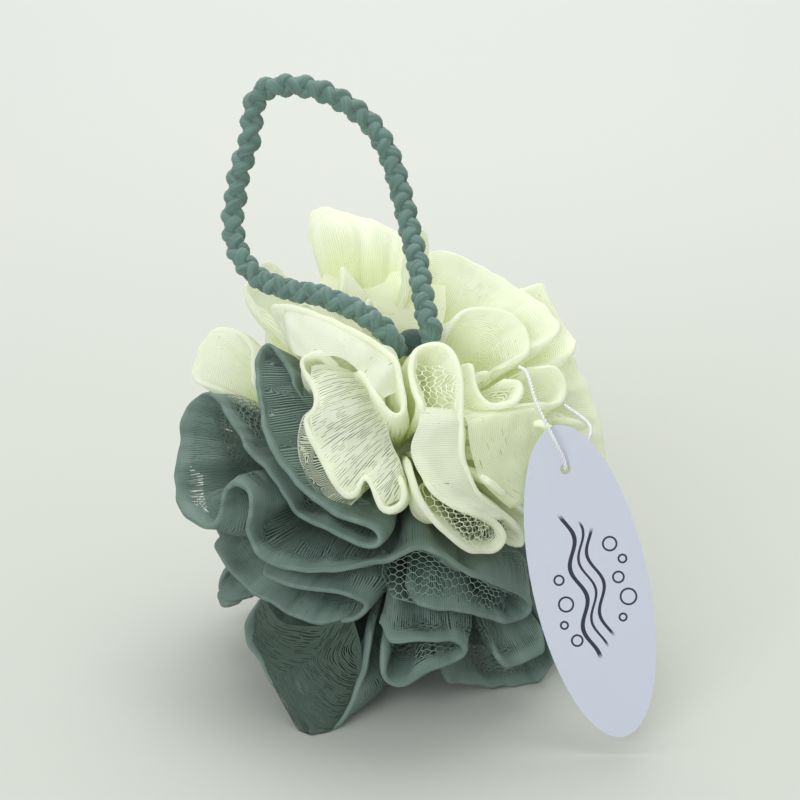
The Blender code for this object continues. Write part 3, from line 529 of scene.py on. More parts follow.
SAGE_FACES = [
    ([(-40, -41, 20), (-42, -44, 17), (-44, -48, 14), (-45, -51, 16), (-43, -56, 19), (-40, -60, 22),
      (-36, -66, 25), (-31, -72, 28), (-26, -76, 29)],
     [(-14, -45, 36), (-12, -50, 35), (-11, -55, 34), (-11, -60, 33), (-12, -64, 32), (-14, -69, 31),
      (-16, -74, 30), (-18, -76, 30), (-21, -77, 30)],
     (0.5, -7.5, 0.5), 1.0, 0.34, 0.0, 0.50),
    ([(-40, 31, 19), (-41, 26, 23), (-40, 17, 31), (-37, 7, 39), (-33, 0, 45), (-27, -7, 51), (-20, -13, 56)],
     [(-30, 30, 27), (-27, 24, 36), (-23, 15, 43), (-21, 7, 48), (-18, 0, 51), (-14, -8, 53), (-9, -14, 56)],
     (0.6, 2.0, 4.0), 3.0, 0.60, 1.0, 0.06),
    ([(-6, -29, 51), (3, -25, 53), (11, -27, 51), (18, -31, 45), (26, -36, 38), (32, -39, 31), (36, -42, 27)],
     [(-6, -38, 43), (1, -40, 43), (9, -42, 41), (18, -43, 37), (24, -45, 33), (29, -46, 29), (34, -46, 26)],
     (0.6, 2.5, 0.6), 7.0, 1.0, 0.0, 0.06),
]


def ripple(x, y, seed):
    """A smooth wander between about -1 and 1; x and y count its waves."""
    rng = np.random.default_rng(seed)
    total = np.zeros(np.broadcast(x, y).shape)
    for _ in range(5):
        angle, phase, rate = rng.uniform(0, 2 * math.pi), rng.uniform(0, 2 * math.pi), rng.uniform(0.6, 1.5)
        total += np.sin(2 * math.pi * rate * (x * math.cos(angle) + y * math.sin(angle)) + phase)
    return total / 2.6


def eased(x):
    """From 0 to 1 with a soft start and end."""
    x = np.clip(x, 0, 1)
    return x * x * (3 - 2 * x)


def blurred(values, stations):
    """The values along a fold, smoothed over that many stations."""
    kernel = np.hanning(2 * stations + 3)[1:-1]
    kernel /= kernel.sum()
    return np.convolve(np.pad(values, stations, mode="edge"), kernel, mode="valid")


def lowest_near(values, n):
    """The lowest value within n stations."""
    padded = np.pad(values, n, mode="edge")
    return np.min([padded[k:k + len(values)] for k in range(2 * n + 1)], axis=0)


def resampled(directions, reach, step):
    """The fold at an even step, with its run."""
    run = run_along(directions * reach[:, None])
    at = np.linspace(0, run[-1], max(FEWEST_STATIONS, round(run[-1] / step) + 1))
    return unit(points_at(at, run, directions)), np.interp(at, run, reach), at


def free_angles(directions, across, run, others):
    """The angle from each station to the nearest fold on either side, and how eager that fold is.

    The fold itself counts where it comes back, further along."""
    along = np.cross(across, directions)
    own = np.column_stack([directions, np.zeros(len(directions))])
    everything = np.vstack([others, own])
    far = np.ones((len(directions), len(everything)), bool)
    far[:, len(others):] = np.abs(run[:, None] - run[None, :]) > SIDE_CLEAR * SELF_APART
    facing = directions @ everything[:, :3].T
    beside = far & (facing > SIDE_FACING) & (np.abs(along @ everything[:, :3].T) < SIDE_SLICE)
    angle = np.arctan2(across @ everything[:, :3].T, facing)
    found = []
    for sign in (1, -1):
        gaps = np.where(beside & (sign * angle > 0), sign * angle, WIDEST_FREE)
        nearest = gaps.argmin(1)
        gap = gaps.min(1)
        found.append((gap, np.where(gap < WIDEST_FREE, everything[nearest, 3], 0.0)))
    return found


def eagerness(is_cream, directions, reach):
    """Where a cream fold fills most of the space beside it, from 0 to 1."""
    place = swirl(directions * reach[:, None]) / MM
    most = np.zeros(len(reach))
    for right, up, half_wide, half_high in EAGER_SPOTS:
        away = np.hypot((place @ ACROSS - right) / half_wide, (place @ UPWARD - up) / half_high)
        most = np.maximum(most, eased(2.0 - 1.6 * away) * eased(place @ TOWARD / EAGER_FRONT - 1))
    return most if is_cream else 0 * most


def turn_limits(directions, across):
    """How far each fold may lean to its either side before it would cross itself in its own turns."""
    step = np.linalg.norm(np.gradient(directions, axis=0), axis=1)
    heading = unit(np.cross(across, directions))
    bend = blurred((np.gradient(heading, axis=0) * across).sum(1) / step, TURN_BLUR)
    least = TURN_SHARE / WIDEST_FREE
    return [lowest_near(TURN_SHARE / np.maximum(sign * bend, least), TURN_NEAR) for sign in (1, -1)]


def shared_angles(directions, across, run, others, eager):
    """The share that a fold may take of the space on its either side."""
    (right, right_eager), (left, left_eager) = free_angles(directions, across, run, others)
    most_right, most_left = turn_limits(directions, across)
    return (np.minimum(right * (0.5 + EAGER_SHARE * (eager - right_eager)), most_right),
            np.minimum(left * (0.5 + EAGER_SHARE * (eager - left_eager)), most_left))


def linked(name, data):
    """A new object in the scene."""
    obj = bpy.data.objects.new(name, data)
    bpy.context.scene.collection.objects.link(obj)
    return obj


def smooth_object(name, places, faces, colours):
    """A smooth mesh on the root body; colours are the values that its material reads at each point."""
    mesh = bpy.data.meshes.new(name)
    mesh.from_pydata(np.vstack(places).tolist(), [], np.vstack(faces).tolist())
    for label, parts in colours.items():
        attribute = mesh.attributes.new(label, "FLOAT_COLOR", "POINT")
        attribute.data.foreach_set("color", np.vstack(parts).astype(np.float32).ravel())
    mesh.shade_smooth()
    obj = linked(name, mesh)
    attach(obj, "root")
    return obj


class NetMesh:
    """Collects the folds of one net: places, faces and the knit's own coordinates."""

    def __init__(self):
        self.places = []
        self.faces = []
        self.rows = []
        self.marks = []
        self.count = 0

    def add_grid(self, places, rows, marks):
        """places, rows and marks run (station, level, ...)."""
        stations, levels = places.shape[:2]
        self.places.append(places.reshape(-1, 3))
        self.rows.append(rows.reshape(-1, 4))
        self.marks.append(marks.reshape(-1, 4))
        index = self.count + np.arange(stations * levels).reshape(stations, levels)
        quads = np.stack([index[:-1, :-1], index[:-1, 1:], index[1:, 1:], index[1:, :-1]], -1)
        self.faces.append(quads.reshape(-1, 4))
        self.count += stations * levels


def spot_marks(places, spots, openness, rungs):
    """How open and how laddered the knit is at each place, with the spots laid over the rest."""
    seen_right = (places - TIE) @ ACROSS * TO_MM
    seen_up = (places - TIE) @ UPWARD * TO_MM
    front = eased(((places - TIE) @ TOWARD * TO_MM + 4) / 8)
    for right, up, half_wide, half_high, spot_open, spot_rungs in spots:
        inside = np.sqrt(((seen_right - right) / half_wide) ** 2 + ((seen_up - up) / half_high) ** 2)
        share = eased(1.6 - 1.1 * inside) * front
        openness = openness * (1 - share) + spot_open * share
        rungs = rungs * (1 - share) + spot_rungs * share
    return openness, rungs


def row_pitch(openness):
    """The step between the knit's rows, in mm."""
    return CLOSED_PITCH + OPEN_PITCH * openness ** PITCH_POWER


def row_counts(pitch, deep):
    """The knit's rows, counted down the net."""
    rows = np.cumsum(2 * np.diff(deep, axis=1) / (pitch[:, 1:] + pitch[:, :-1]), 1)
    return np.concatenate([np.zeros((len(deep), 1)), rows], 1)


def free_fold(fold, others):
    """A fold at fine stations: directions, run, the way across, reach, half its free angle, and its lean."""
    is_cream, directions, reach = fold
    directions, reach, run = resampled(directions, reach, FINE_STEP)
    cut = reach - clear_reach(directions, reach)
    reach = reach - np.maximum(cut, blurred(-lowest_near(-cut, CUT_NEAR), CUT_BLUR))
    across = unit(np.cross(directions, np.gradient(directions, axis=0)))
    right, left = shared_angles(directions, across, run, others, eagerness(is_cream, directions, reach))
    half = blurred(lowest_near(np.minimum(right, left), HALF_NEAR), HALF_BLUR)
    lean = blurred(LEAN_SHARE * (right - left), LEAN_BLUR)
    if abs(directions @ CREAM_SIDE).max() < math.sin(UPRIGHT_SIDE_ANGLE):
        lean = 0 * lean
    return directions, run, across, reach, np.clip(half - ANGLE_MARGIN, *HALF_ANGLES), lean


def dipped(directions, reach):
    """The reach of a cream fold, less where it would hide the lobes behind the loop."""
    rim = swirl(directions * reach[:, None])
    right, up, toward = DIP_MIDDLE
    away = ((rim @ ACROSS - right) / DIP_HALF_WIDE) ** 2 + ((rim @ UPWARD - up) / DIP_HALF_HIGH) ** 2
    return reach - DIP * np.exp(-away) * eased((DIP_HALF_DEEP - abs(rim @ TOWARD - toward)) / DIP_EDGE)


def add_fold(net, fold, index, others, spots):
    """The fold's two layers of net, from one inner edge over the round rim to the other."""
    is_cream = fold[0]
    directions, run, across, reach, half, lean = free_fold(fold, others)
    from_end = np.minimum(run, run[-1] - run)
    at = run * TO_MM
    if is_cream:
        reach = dipped(directions, reach)
    reach = reach + REACH_RIPPLE * ripple(at / REACH_WAVE, 0 * at, index)
    reach = np.minimum(reach - END_DROP * (1 - eased(from_end / END_DROP)) ** 2, floor_reach(directions))
    room = CLEAR_USED * half * reach
    rim_wave = ripple(at / RIM_WAVE, 0 * at, index + SEEDS["rim"])
    rim = np.minimum(np.clip(RIM_SHARE * room * (1 + RIM_RIPPLE * rim_wave), *RIM_ROUND), room)
    closing = np.sqrt(np.clip(1 - (1 - np.clip(from_end / CLOSING_RUN, 0, 1)) ** 2, 0, 1))

    turns = [math.radians(turn) for turn in CAP_TURNS]
    below = np.maximum(reach - rim - LAYER_INNER, LEAST_DEPTH)
    depth = [rim * (1 - math.cos(t)) for t in turns] + [rim + share * below for share in DEPTH_SHARES]
    depth = np.stack(depth, 1)
    thick = np.stack([rim * math.sin(t) for t in turns] + [rim] * len(DEPTH_SHARES), 1)
    radius = reach[:, None] - depth
    deep = depth * TO_MM

    def wander(waves, seed):
        return ripple(at[:, None] / waves[0], deep / waves[1], index + seed)

    flare = 1 + FLARE * eased(deep / FLARE_DEPTH_MM) * (0.5 + 0.5 * wander(FLARE_WAVES, SEEDS["flare"]))
    most = CLEAR_USED * half[:, None] * radius
    wide = np.minimum(thick * flare, most) * closing[:, None]
    free = np.maximum(most - wide, 0)
    sway = np.minimum(SWAY, free) * wander(SWAY_WAVES, SEEDS["sway"]) * eased(deep / SWAY_DEPTH_MM)
    tilt = lean[:, None] * eased(deep / LEAN_DEPTH_MM) * eased(from_end / LEAN_RUN)[:, None]
    rungs = eased(2.2 * (0.5 + 0.5 * wander(LADDER_WAVES, SEEDS["ladder"])) - 0.9)
    least_open, power = (CREAM_OPEN, CREAM_OPEN_POWER) if is_cream else (SAGE_OPEN, SAGE_OPEN_POWER)
    along = at[:, None] * np.ones_like(deep)

    sides = []
    for sign in (1, -1):
        pleat = np.minimum(PLEAT, free) * wander(PLEAT_WAVES, SEEDS["pleat"] + sign)
        pleat = pleat * eased(deep / PLEAT_DEPTH_MM)
        slope = (sign * wide + sway + pleat) / radius + np.tan(tilt)
        d = unit(directions[:, None, :] + slope[..., None] * across[:, None, :])
        places = swirl(d * radius[..., None]) + TIE
        places[..., 2] = np.maximum(places[..., 2], FLOOR_CLEAR)
        noise = 0.5 + 0.5 * wander(KNIT_WAVES, SEEDS["knit"] + sign)
        openness = least_open + OPEN_MORE * noise ** power
        openness = openness * (1 - DEEP_CLOSED * eased((deep - DEEP_FROM_MM) / DEEP_RUN_MM))
        openness, laddered = spot_marks(places, spots, openness, rungs)
        openness = np.maximum(openness, 0) * eased((deep - RIM_CLOSED_MM) / RIM_OPENING_MM)
        pitch = row_pitch(openness)
        rows = np.stack([row_counts(pitch, deep) * sign, along / COLUMN_MM, along, deep * sign], -1)
        # The last mark is the share of painted depth shade, counted from the depth into the fold
        marks = np.stack([openness, laddered, pitch, np.clip(deep / DEPTH_SHADE_MM, 0, 1)], -1)
        sides.append((places, rows, marks))
    net.add_grid(*[np.concatenate([first[:, ::-1], second[:, 1:]], 1) for first, second in zip(*sides)])


def add_face(net, face, index):
    """A stretch of net seen from its face, between two edges."""
    first, second, sinks, dive, openness, ladder, depth_and_shade_share = face
    edges = []
    for points in (first, second):
        edge = smooth_route([seen(*p) for p in points], FACE_EDGE_STEP)
        edges.append(points_at(np.linspace(0, len(edge) - 1, FACE_STATIONS), np.arange(len(edge)), edge))
    a, b = edges
    along = run_along((a + b) / 2)[:, None] * TO_MM
    from_end = np.minimum(along, along[-1] - along)
    over = np.linspace(0, 1, FACE_LEVELS)[None, :]
    width = np.linalg.norm(b - a, axis=1)[:, None] * TO_MM
    deep = over * width
    places = a[:, None, :] * (1 - over[..., None]) + b[:, None, :] * over[..., None]
    sink = (sinks[0] * (1 - over) ** 2 + 2 * (2 * sinks[1] - 0.5 * (sinks[0] + sinks[2])) * over * (1 - over)
            + sinks[2] * over ** 2)
    unevenness = ripple(along / FACE_RIPPLE_WAVE, deep / FACE_RIPPLE_WAVE, index)
    sink = sink + FACE_RIPPLE_MM * unevenness * np.sin(math.pi * over)
    sink = sink + dive * (1 - eased(from_end / FACE_DIVE_RUN_MM)) ** 2
    reach = np.linalg.norm(places, axis=-1, keepdims=True)
    places = places * (1 - sink[..., None] * MM / reach) + TIE
    places[..., 2] = np.maximum(places[..., 2], FACE_FLOOR_CLEAR)
    fringe = eased((0.5 - np.abs(over - 0.5)) * width / FACE_CLOSED_EDGE_MM)
    fringe = fringe * eased(from_end / FACE_CLOSED_END_MM)
    change = FACE_OPEN_CHANGE * ripple(along / FACE_OPEN_WAVE, deep / FACE_OPEN_WAVE, index + SEEDS["face"])
    openness = np.maximum(openness * (1 - FACE_OPEN_CHANGE + change) * fringe, 0)
    pitch = row_pitch(openness)
    ones = np.ones_like(deep)
    rows = np.stack([row_counts(pitch, deep), along / COLUMN_MM * ones, along * ones, deep + COLUMN_MM], -1)
    net.add_grid(places, rows, np.stack([openness, ladder * ones, pitch, depth_and_shade_share * ones], -1))


def add_gathers(net, side_sign):
    """Half a ball: the gathered middle of one net, up to the tie."""
    side, other = frame_about(CORE_AXIS)
    polar = np.radians(np.linspace(0.0, GATHER_DEGREES, GATHER_LEVELS))[None, :, None]
    around = np.radians(np.linspace(0.0, 360.0, GATHER_STATIONS))[:, None, None]
    pleats = 1 + GATHER_PLEAT * np.sin(GATHER_PLEATS * around) * np.sin(polar)
    places = CORE_RADIUS * pleats * (np.cos(polar) * CORE_AXIS * side_sign
                                     + np.sin(polar) * (np.cos(around) * side + np.sin(around) * other))
    closed = np.zeros(places.shape[:2] + (4,))
    net.add_grid(places + TIE, closed, closed)


def add_net(name, is_cream, folds, spots, faces):
    """One net: its faces, its folds and its gathered middle, as one piece on the root body."""
    net = NetMesh()
    for index, face in enumerate(faces):
        add_face(net, face, index)
    for index, fold in enumerate(folds):
        if fold[0] == is_cream:
            others = [np.column_stack([f[1], eagerness(*f)])[::2] for k, f in enumerate(folds) if k != index]
            add_fold(net, fold, index, np.vstack(others), spots)
    add_gathers(net, 1 if is_cream else -1)
    return smooth_object(name, net.places, net.faces, {"knit": net.rows, "lay": net.marks})


# Materials

def linear(hex_colour):
    """A colour written as sRGB hex, as the renderer's linear red, green, blue and alpha."""
    parts = [int(hex_colour[i:i + 2], 16) / 255 for i in (1, 3, 5)]
    return tuple(c / 12.92 if c <= 0.04045 else ((c + 0.055) / 1.055) ** 2.4 for c in parts) + (1.0,)


# The setting of a kind of node that is written after its name
MAIN_SETTINGS = {"Math": "operation", "VectorMath": "operation", "MapRange": "interpolation_type",
                 "Mix": "data_type", "Attribute": "attribute_name"}


class Shader:
    """A material and the one function that adds its nodes."""

    def __init__(self, name):
        self.material = bpy.data.materials.new(name)
        self.material.use_nodes = True
        self.tree = self.material.node_tree
        self.tree.nodes.clear()

    def add(self, kind, *values, use_clamp=None):
        """A node, such as "Math:ADD", with its values, in the order of its inputs or as a dict by input.

        A value is a number, a colour or another node's output; a node stands for its first output."""
        kind, _, setting = kind.partition(":")
        node = self.tree.nodes.new("ShaderNode" + kind)
        if setting:
            setattr(node, MAIN_SETTINGS[kind], setting)
        if use_clamp is not None:
            node.use_clamp = use_clamp
        named = values[0] if values and isinstance(values[0], dict) else dict(enumerate(values))
        for key, value in named.items():
            if isinstance(value, bpy.types.Node):
                value = value.outputs[0]
            if isinstance(value, bpy.types.NodeSocket):
                self.tree.links.new(value, node.inputs[key])
            else:
                node.inputs[key].default_value = value
        return node

    def finished(self, surface):
        self.add("OutputMaterial", {"Surface": surface})
        return self.material


def thread_distance(s, row, column):
    """How far a point is from the nearest of the knit's waved threads, in rows.

    The threads are two families that meet in turn, so that they close six-sided cells."""
    wave = s.add("Math:COSINE", s.add("Math:MULTIPLY", column, 2 * math.pi))
    wave = s.add("Math:MINIMUM", s.add("Math:MULTIPLY", wave, CELL_SHAPE), 1.0)
    wave = s.add("Math:MAXIMUM", wave, -1.0)
    wave = s.add("Math:MULTIPLY", wave, 0.5)
    away = []
    for shift, sign in ((0.0, -1.0), (1.0, 1.0)):
        level = s.add("Math:ADD", row, s.add("Math:MULTIPLY", wave, sign))
        level = s.add("Math:ADD", s.add("Math:MULTIPLY", level, 0.5), 0.5 * shift)
        near = s.add("Math:SUBTRACT", level, s.add("Math:ROUND", level))
        away.append(s.add("Math:MULTIPLY", s.add("Math:ABSOLUTE", near), 2.0))
    return s.add("Math:MINIMUM", *away)


# The knit as drawn. The real net's lines lie closer than a picture of the whole pouf can show, so they are
# drawn coarser: 0.64 mm apart, and 0.92 mm apart in a ladder
LINE_STEP_MM = 0.64
LADDER_STEP_MM = 0.92
CELL_SHAPE = 1.35
THREAD_WANDER = {"Scale": 240.0, "Detail": 1.0}
TURN_PATCHES = {"Scale": 34.0, "Detail": 0.0}
BUNCH_ALONG, BUNCH_ACROSS, BUNCH_LINES = 0.040, 0.24, 2.4
SLIT_ALONG, SLIT_ACROSS = 0.26, 1.25
FAMILY_OFFSET = 40.0


def knit_lines(s, across, along, offset, line_step, nudge, least, narrow):
    """One family of knitted lines: the distance from a line, the slits between lines, and the bunching."""
    bunch_at = s.add("CombineXYZ", s.add("Math:MULTIPLY", along, BUNCH_ALONG),
                     s.add("Math:MULTIPLY", across, BUNCH_ACROSS), offset)
    bunches = s.add("TexNoise", {"Vector": bunch_at, "Scale": 1.0, "Detail": 1.0})
    line = s.add("Math:ADD", s.add("Math:DIVIDE", across, line_step), s.add("Math:MULTIPLY", nudge, 0.55))
    line = s.add("Math:ADD", line, s.add("Math:MULTIPLY", bunches, BUNCH_LINES))
    off = s.add("Math:ABSOLUTE", s.add("Math:SUBTRACT", s.add("Math:FRACT", line), 0.5))
    off = s.add("Math:MULTIPLY", off, 2.0)
    dash_at = s.add("CombineXYZ", s.add("Math:MULTIPLY", along, SLIT_ALONG),
                    s.add("Math:MULTIPLY", across, SLIT_ACROSS), offset)
    dashes = s.add("TexNoise", {"Vector": dash_at, "Scale": 1.0, "Detail": 0.0})
    long_enough = s.add("MapRange:SMOOTHSTEP", s.add("Math:SUBTRACT", dashes, least), 0.0, 0.06)
    between = s.add("Math:SUBTRACT", s.add("Math:SUBTRACT", 1.0, off), narrow)
    slit = s.add("Math:MULTIPLY", long_enough, s.add("MapRange:SMOOTHSTEP", between, -0.1, 0.1))
    return off, slit, bunches


def netting_material(name, thread, shade, painted_depth_shade, thin_share, glow):
    """Knitted polyethylene netting: fine matt threads, lit through, with gaps that show what is behind.

    Where the net is closed its lines run along or across the fold with thin slits between; a ladder shows its
    rungs alone; where it is pulled open it has six-sided cells."""
    s = Shader(name)
    knit = s.add("Attribute:knit")
    lay = s.add("Attribute:lay")
    row, column, along = s.add("SeparateColor", knit.outputs["Color"]).outputs
    openness, rungs, _ = s.add("SeparateColor", lay.outputs["Color"]).outputs
    deep = knit.outputs["Alpha"]
    depth_and_shade_share = lay.outputs["Alpha"]
    place = s.add("TexCoord").outputs["Object"]
    nudge = s.add("Math:SUBTRACT", s.add("TexNoise", {"Vector": place, **THREAD_WANDER}), 0.5)
    nudge = s.add("Math:MULTIPLY", nudge, 0.5)

    ladder = s.add("Math:GREATER_THAN", rungs, 0.5)
    patches = s.add("TexNoise", {"Vector": place, **TURN_PATCHES})
    across_fold = s.add("Math:MAXIMUM", ladder, s.add("MapRange:SMOOTHSTEP", patches, 0.46, 0.62))
    wide_ladder = s.add("Math:MULTIPLY", ladder, s.add("MapRange:SMOOTHSTEP", openness, 0.38, 0.48))
    line_step = s.add("Mix", {0: wide_ladder, 2: LINE_STEP_MM, 3: LADDER_STEP_MM})
    least = s.add("Math:SUBTRACT", s.add("MapRange", openness, 0.05, 0.50, 0.76, 0.22), wide_ladder)
    narrow = s.add("Math:SUBTRACT", s.add("MapRange:SMOOTHSTEP", openness, 0.1, 0.6, 0.58, 0.38),
                   s.add("Math:MULTIPLY", wide_ladder, 0.02))
    off_a, slit_a, bunches_a = knit_lines(s, deep, along, 0.0, line_step, nudge, least, narrow)
    off_b, slit_b, bunches_b = knit_lines(s, along, deep, FAMILY_OFFSET, line_step, nudge, least, narrow)
    off = s.add("Mix", {0: across_fold, 2: off_a, 3: off_b})
    slit = s.add("Mix", {0: s.add("Math:GREATER_THAN", across_fold, 0.5), 2: slit_a, 3: slit_b})
    streak = s.add("Mix", {0: across_fold, 2: bunches_a, 3: bunches_b})
    sheer = s.add("Math:MULTIPLY", s.add("Math:SUBTRACT", 1.0, off),
                  s.add("MapRange:SMOOTHSTEP", depth_and_shade_share, 0.03, 0.10, 0.0, 0.22))
    slit = s.add("Math:MULTIPLY", slit, s.add("MapRange:SMOOTHSTEP", depth_and_shade_share, 0.03, 0.08))
    lines = s.add("Math:SUBTRACT", 1.0, s.add("Math:MAXIMUM", slit, sheer))

    rows = thread_distance(s, s.add("Math:ADD", row, nudge),
                           s.add("Math:ADD", column, s.add("Math:MULTIPLY", nudge, 0.25)))
    half_thread = s.add("MapRange:SMOOTHSTEP", openness, 0.40, 0.90, 0.30, 0.12)
    hole = s.add("MapRange:SMOOTHSTEP", s.add("Math:SUBTRACT", rows, half_thread), -0.05, 0.05)
    cells = s.add("Math:SUBTRACT", 1.0, hole)
    is_cells = s.add("Math:MULTIPLY", s.add("MapRange:SMOOTHSTEP", openness, 0.42, 0.50),
                     s.add("Math:SUBTRACT", 1.0, ladder))
    cover = s.add("Mix", {0: is_cells, 2: lines, 3: cells})

    ridge = s.add("Mix", {0: is_cells, 2: off, 3: s.add("MapRange:SMOOTHSTEP", rows, 0.0, 0.5, 1.0, 0.0)})
    shown = s.add("MapRange:SMOOTHSTEP", openness, 0.0, 0.28, 0.42, 0.90)
    between = s.add("Math:MULTIPLY", s.add("Math:SUBTRACT", 1.0, ridge), shown)
    streak = s.add("Math:MULTIPLY", s.add("Math:SUBTRACT", streak, 0.45), 1.1)
    between = s.add("Math:ADD", between, streak, use_clamp=True)
    colour = s.add("Mix:RGBA", {0: between, 6: linear(thread), 7: linear(shade)}).outputs[2]
    # Painted shade: deep in the folds and on faces given a share of it, the net turns to a darker colour
    painted_shade_share = s.add("MapRange:SMOOTHSTEP", depth_and_shade_share, 0.12, 0.55)
    colour = s.add("Mix:RGBA", {0: painted_shade_share, 6: colour, 7: linear(painted_depth_shade)}).outputs[2]
    bump = s.add("Bump", {"Strength": 0.35, "Distance": 0.00012, "Height": ridge})
    skin = s.add("BsdfPrincipled", {"Base Color": colour, "Roughness": 0.62, "Normal": bump,
                                    "Specular IOR Level": 0.3, "Sheen Weight": 0.12, "Sheen Roughness": 0.5})
    through = s.add("BsdfTranslucent", {"Color": linear(glow), "Normal": bump})
    threads = s.add("MixShader", thin_share, skin, through)
    return s.finished(s.add("MixShader", cover, s.add("BsdfTransparent"), threads))


def yarn_material(name, yarn, painted_hollow_shade, grain, fuzz):
    """Spun yarn: matt, with fibres along each strand and painted shade where the strands meet."""
    s = Shader(name)
    along, around, height = s.add("SeparateColor", s.add("Attribute:strand").outputs["Color"]).outputs
    where = s.add("CombineXYZ", s.add("Math:MULTIPLY", along, 0.35), s.add("Math:MULTIPLY", around, 9.0),
                  s.add("Math:MULTIPLY", height, 2.0))
    fibres = s.add("TexNoise", {"Vector": where, "Scale": grain, "Detail": 3.0})
    fibre_tone_and_shade = s.add("Math:MULTIPLY", s.add("MapRange:SMOOTHSTEP", fibres, 0.35, 0.65), 0.35)
    # Painted shade: each strand is darkened on its inner side, where it meets the others
    fibre_tone_and_shade = s.add("Math:ADD", fibre_tone_and_shade, s.add("MapRange:SMOOTHSTEP", height, 0.0, 0.45, 0.55, 0.0))
    colour = s.add("Mix:RGBA", {0: fibre_tone_and_shade, 6: linear(yarn), 7: linear(painted_hollow_shade)}).outputs[2]
    bump = s.add("Bump", {"Strength": 0.5, "Distance": 0.0003, "Height": fibres})
    return s.finished(s.add("BsdfPrincipled", {"Base Color": colour, "Roughness": 0.85, "Normal": bump,
                                               "Specular IOR Level": 0.15, "Sheen Weight": fuzz,
                                               "Sheen Roughness": 0.6}))


# The tag's print, in mm from its middle: waved lines (place across, half width, wave, phase) and rings (place
# across and down, radius)
WAVED_LINES = [(-3.2, 0.55, 17.0, 0.0), (-0.4, 0.32, 17.0, 0.6), (2.2, 0.42, 17.0, 1.1)]
WAVE_HEIGHT_MM = 1.5
INK_EDGE_MM = 0.12
RINGS = [(7.6, -9.0, 1.9), (10.2, -4.2, 1.1), (8.0, 0.6, 1.5), (9.6, 6.5, 2.2), (6.9, 11.8, 1.0),
         (-8.4, -2.0, 1.3), (-7.9, 5.0, 2.0), (-9.6, 10.6, 1.0), (-7.0, 15.5, 1.5)]
RING_LINE_MM = (0.22, 0.34)
PRINTED_FACE_MM = (0.2, 0.25)


def card_material():
    """Coated card, pale lavender grey, with waved lines and bubbles printed in dark ink on its front."""
    s = Shader("coated card")
    down, wide, normal, middle = tag_axes()
    middle = middle + TIE
    place = s.add("TexCoord").outputs["Object"]
    from_middle = []
    for axis in (wide, down, normal):
        dot = s.add("VectorMath:DOT_PRODUCT", place, tuple(axis)).outputs["Value"]
        off = s.add("Math:SUBTRACT", dot, float(middle @ axis))
        from_middle.append(s.add("Math:MULTIPLY", off, float(TO_MM)))
    x, y, face = from_middle
    ink = 0.0
    for offset, half_width, length, phase in WAVED_LINES:
        turn = s.add("Math:ADD", s.add("Math:MULTIPLY", y, 2 * math.pi / length), phase)
        wave = s.add("Math:MULTIPLY", s.add("Math:SINE", turn), WAVE_HEIGHT_MM)
        off = s.add("Math:ABSOLUTE", s.add("Math:SUBTRACT", s.add("Math:SUBTRACT", x, offset), wave))
        line = s.add("MapRange:SMOOTHSTEP", off, half_width, half_width + INK_EDGE_MM, 1.0, 0.0)
        span = s.add("Math:MULTIPLY", s.add("MapRange:SMOOTHSTEP", y, -17.0 + offset, -15.0 + offset),
                     s.add("MapRange:SMOOTHSTEP", y, 17.0 - offset, 19.0 - offset, 1.0, 0.0))
        ink = s.add("Math:MAXIMUM", ink, s.add("Math:MULTIPLY", line, span))
    for right, low, radius in RINGS:
        dx = s.add("Math:SUBTRACT", x, right)
        dy = s.add("Math:SUBTRACT", y, low)
        away = s.add("Math:ADD", s.add("Math:MULTIPLY", dx, dx), s.add("Math:MULTIPLY", dy, dy))
        off = s.add("Math:ABSOLUTE", s.add("Math:SUBTRACT", s.add("Math:SQRT", away), radius))
        ink = s.add("Math:MAXIMUM", ink, s.add("MapRange:SMOOTHSTEP", off, *RING_LINE_MM, 1.0, 0.0))
    ink = s.add("Math:MULTIPLY", ink, s.add("MapRange:SMOOTHSTEP", face, *PRINTED_FACE_MM))
    grain = s.add("TexNoise", {"Vector": place, "Scale": 900.0, "Detail": 2.0})
    mottle = s.add("Math:MULTIPLY", grain, 0.25)
    paper = s.add("Mix:RGBA", {0: mottle, 6: linear("#c6cbd9"), 7: linear("#bcc1d0")}).outputs[2]
    colour = s.add("Mix:RGBA", {0: ink, 6: paper, 7: linear("#2a2c44")}).outputs[2]
    bump = s.add("Bump", {"Strength": 0.12, "Distance": 0.0001, "Height": grain})
    return s.finished(s.add("BsdfPrincipled", {"Base Color": colour, "Roughness": 0.5, "Normal": bump,
                                               "Specular IOR Level": 0.35}))


# Cords

def frames_along(points):
    """Tangent and two steady side directions at each point."""
    ahead = unit(np.gradient(points, axis=0))
    side = np.zeros_like(points)
    side[0] = unit(np.cross(ahead[0], TOWARD))
    for i in range(1, len(points)):
        side[i] = unit(side[i - 1] - ahead[i] * (side[i - 1] @ ahead[i]))
    return ahead, side, np.cross(ahead, side)


def strand_mesh(name, strands, half_wide, half_high, around):
    """Oval tubes along the strands, each given as (centres, outward directions, run)."""
    places, faces, marks = [], [], []
    turns = np.linspace(0, 2 * math.pi, around, endpoint=False)
    for base, (centres, outward, run) in enumerate(strands):
        n = len(centres)
        ahead = unit(np.gradient(centres, axis=0))
        up = unit(outward - (outward * ahead).sum(1, keepdims=True) * ahead)
        side = np.cross(ahead, up)
        ring = (centres[:, None, :] + (half_wide * np.cos(turns))[:, None] * side[:, None, :]
                + (half_high * np.sin(turns))[:, None] * up[:, None, :])
        places.append(ring.reshape(-1, 3))
        # Marks: run, turn round the strand, and how far out it lies, which sets the yarn's painted shade
        mark = np.stack(np.broadcast_arrays(run[:, None] * TO_MM, turns / 6.2832, 0.5 + 0.5 * np.sin(turns),
                                            1.0), -1)
        marks.append(mark.reshape(-1, 4))
        index = base * n * around + np.arange(n * around).reshape(n, around)
        after = np.roll(index, -1, 1)
        faces.append(np.stack([index[:-1], after[:-1], after[1:], index[1:]], -1).reshape(-1, 4))
    return smooth_object(name, places, faces, {"strand": marks})


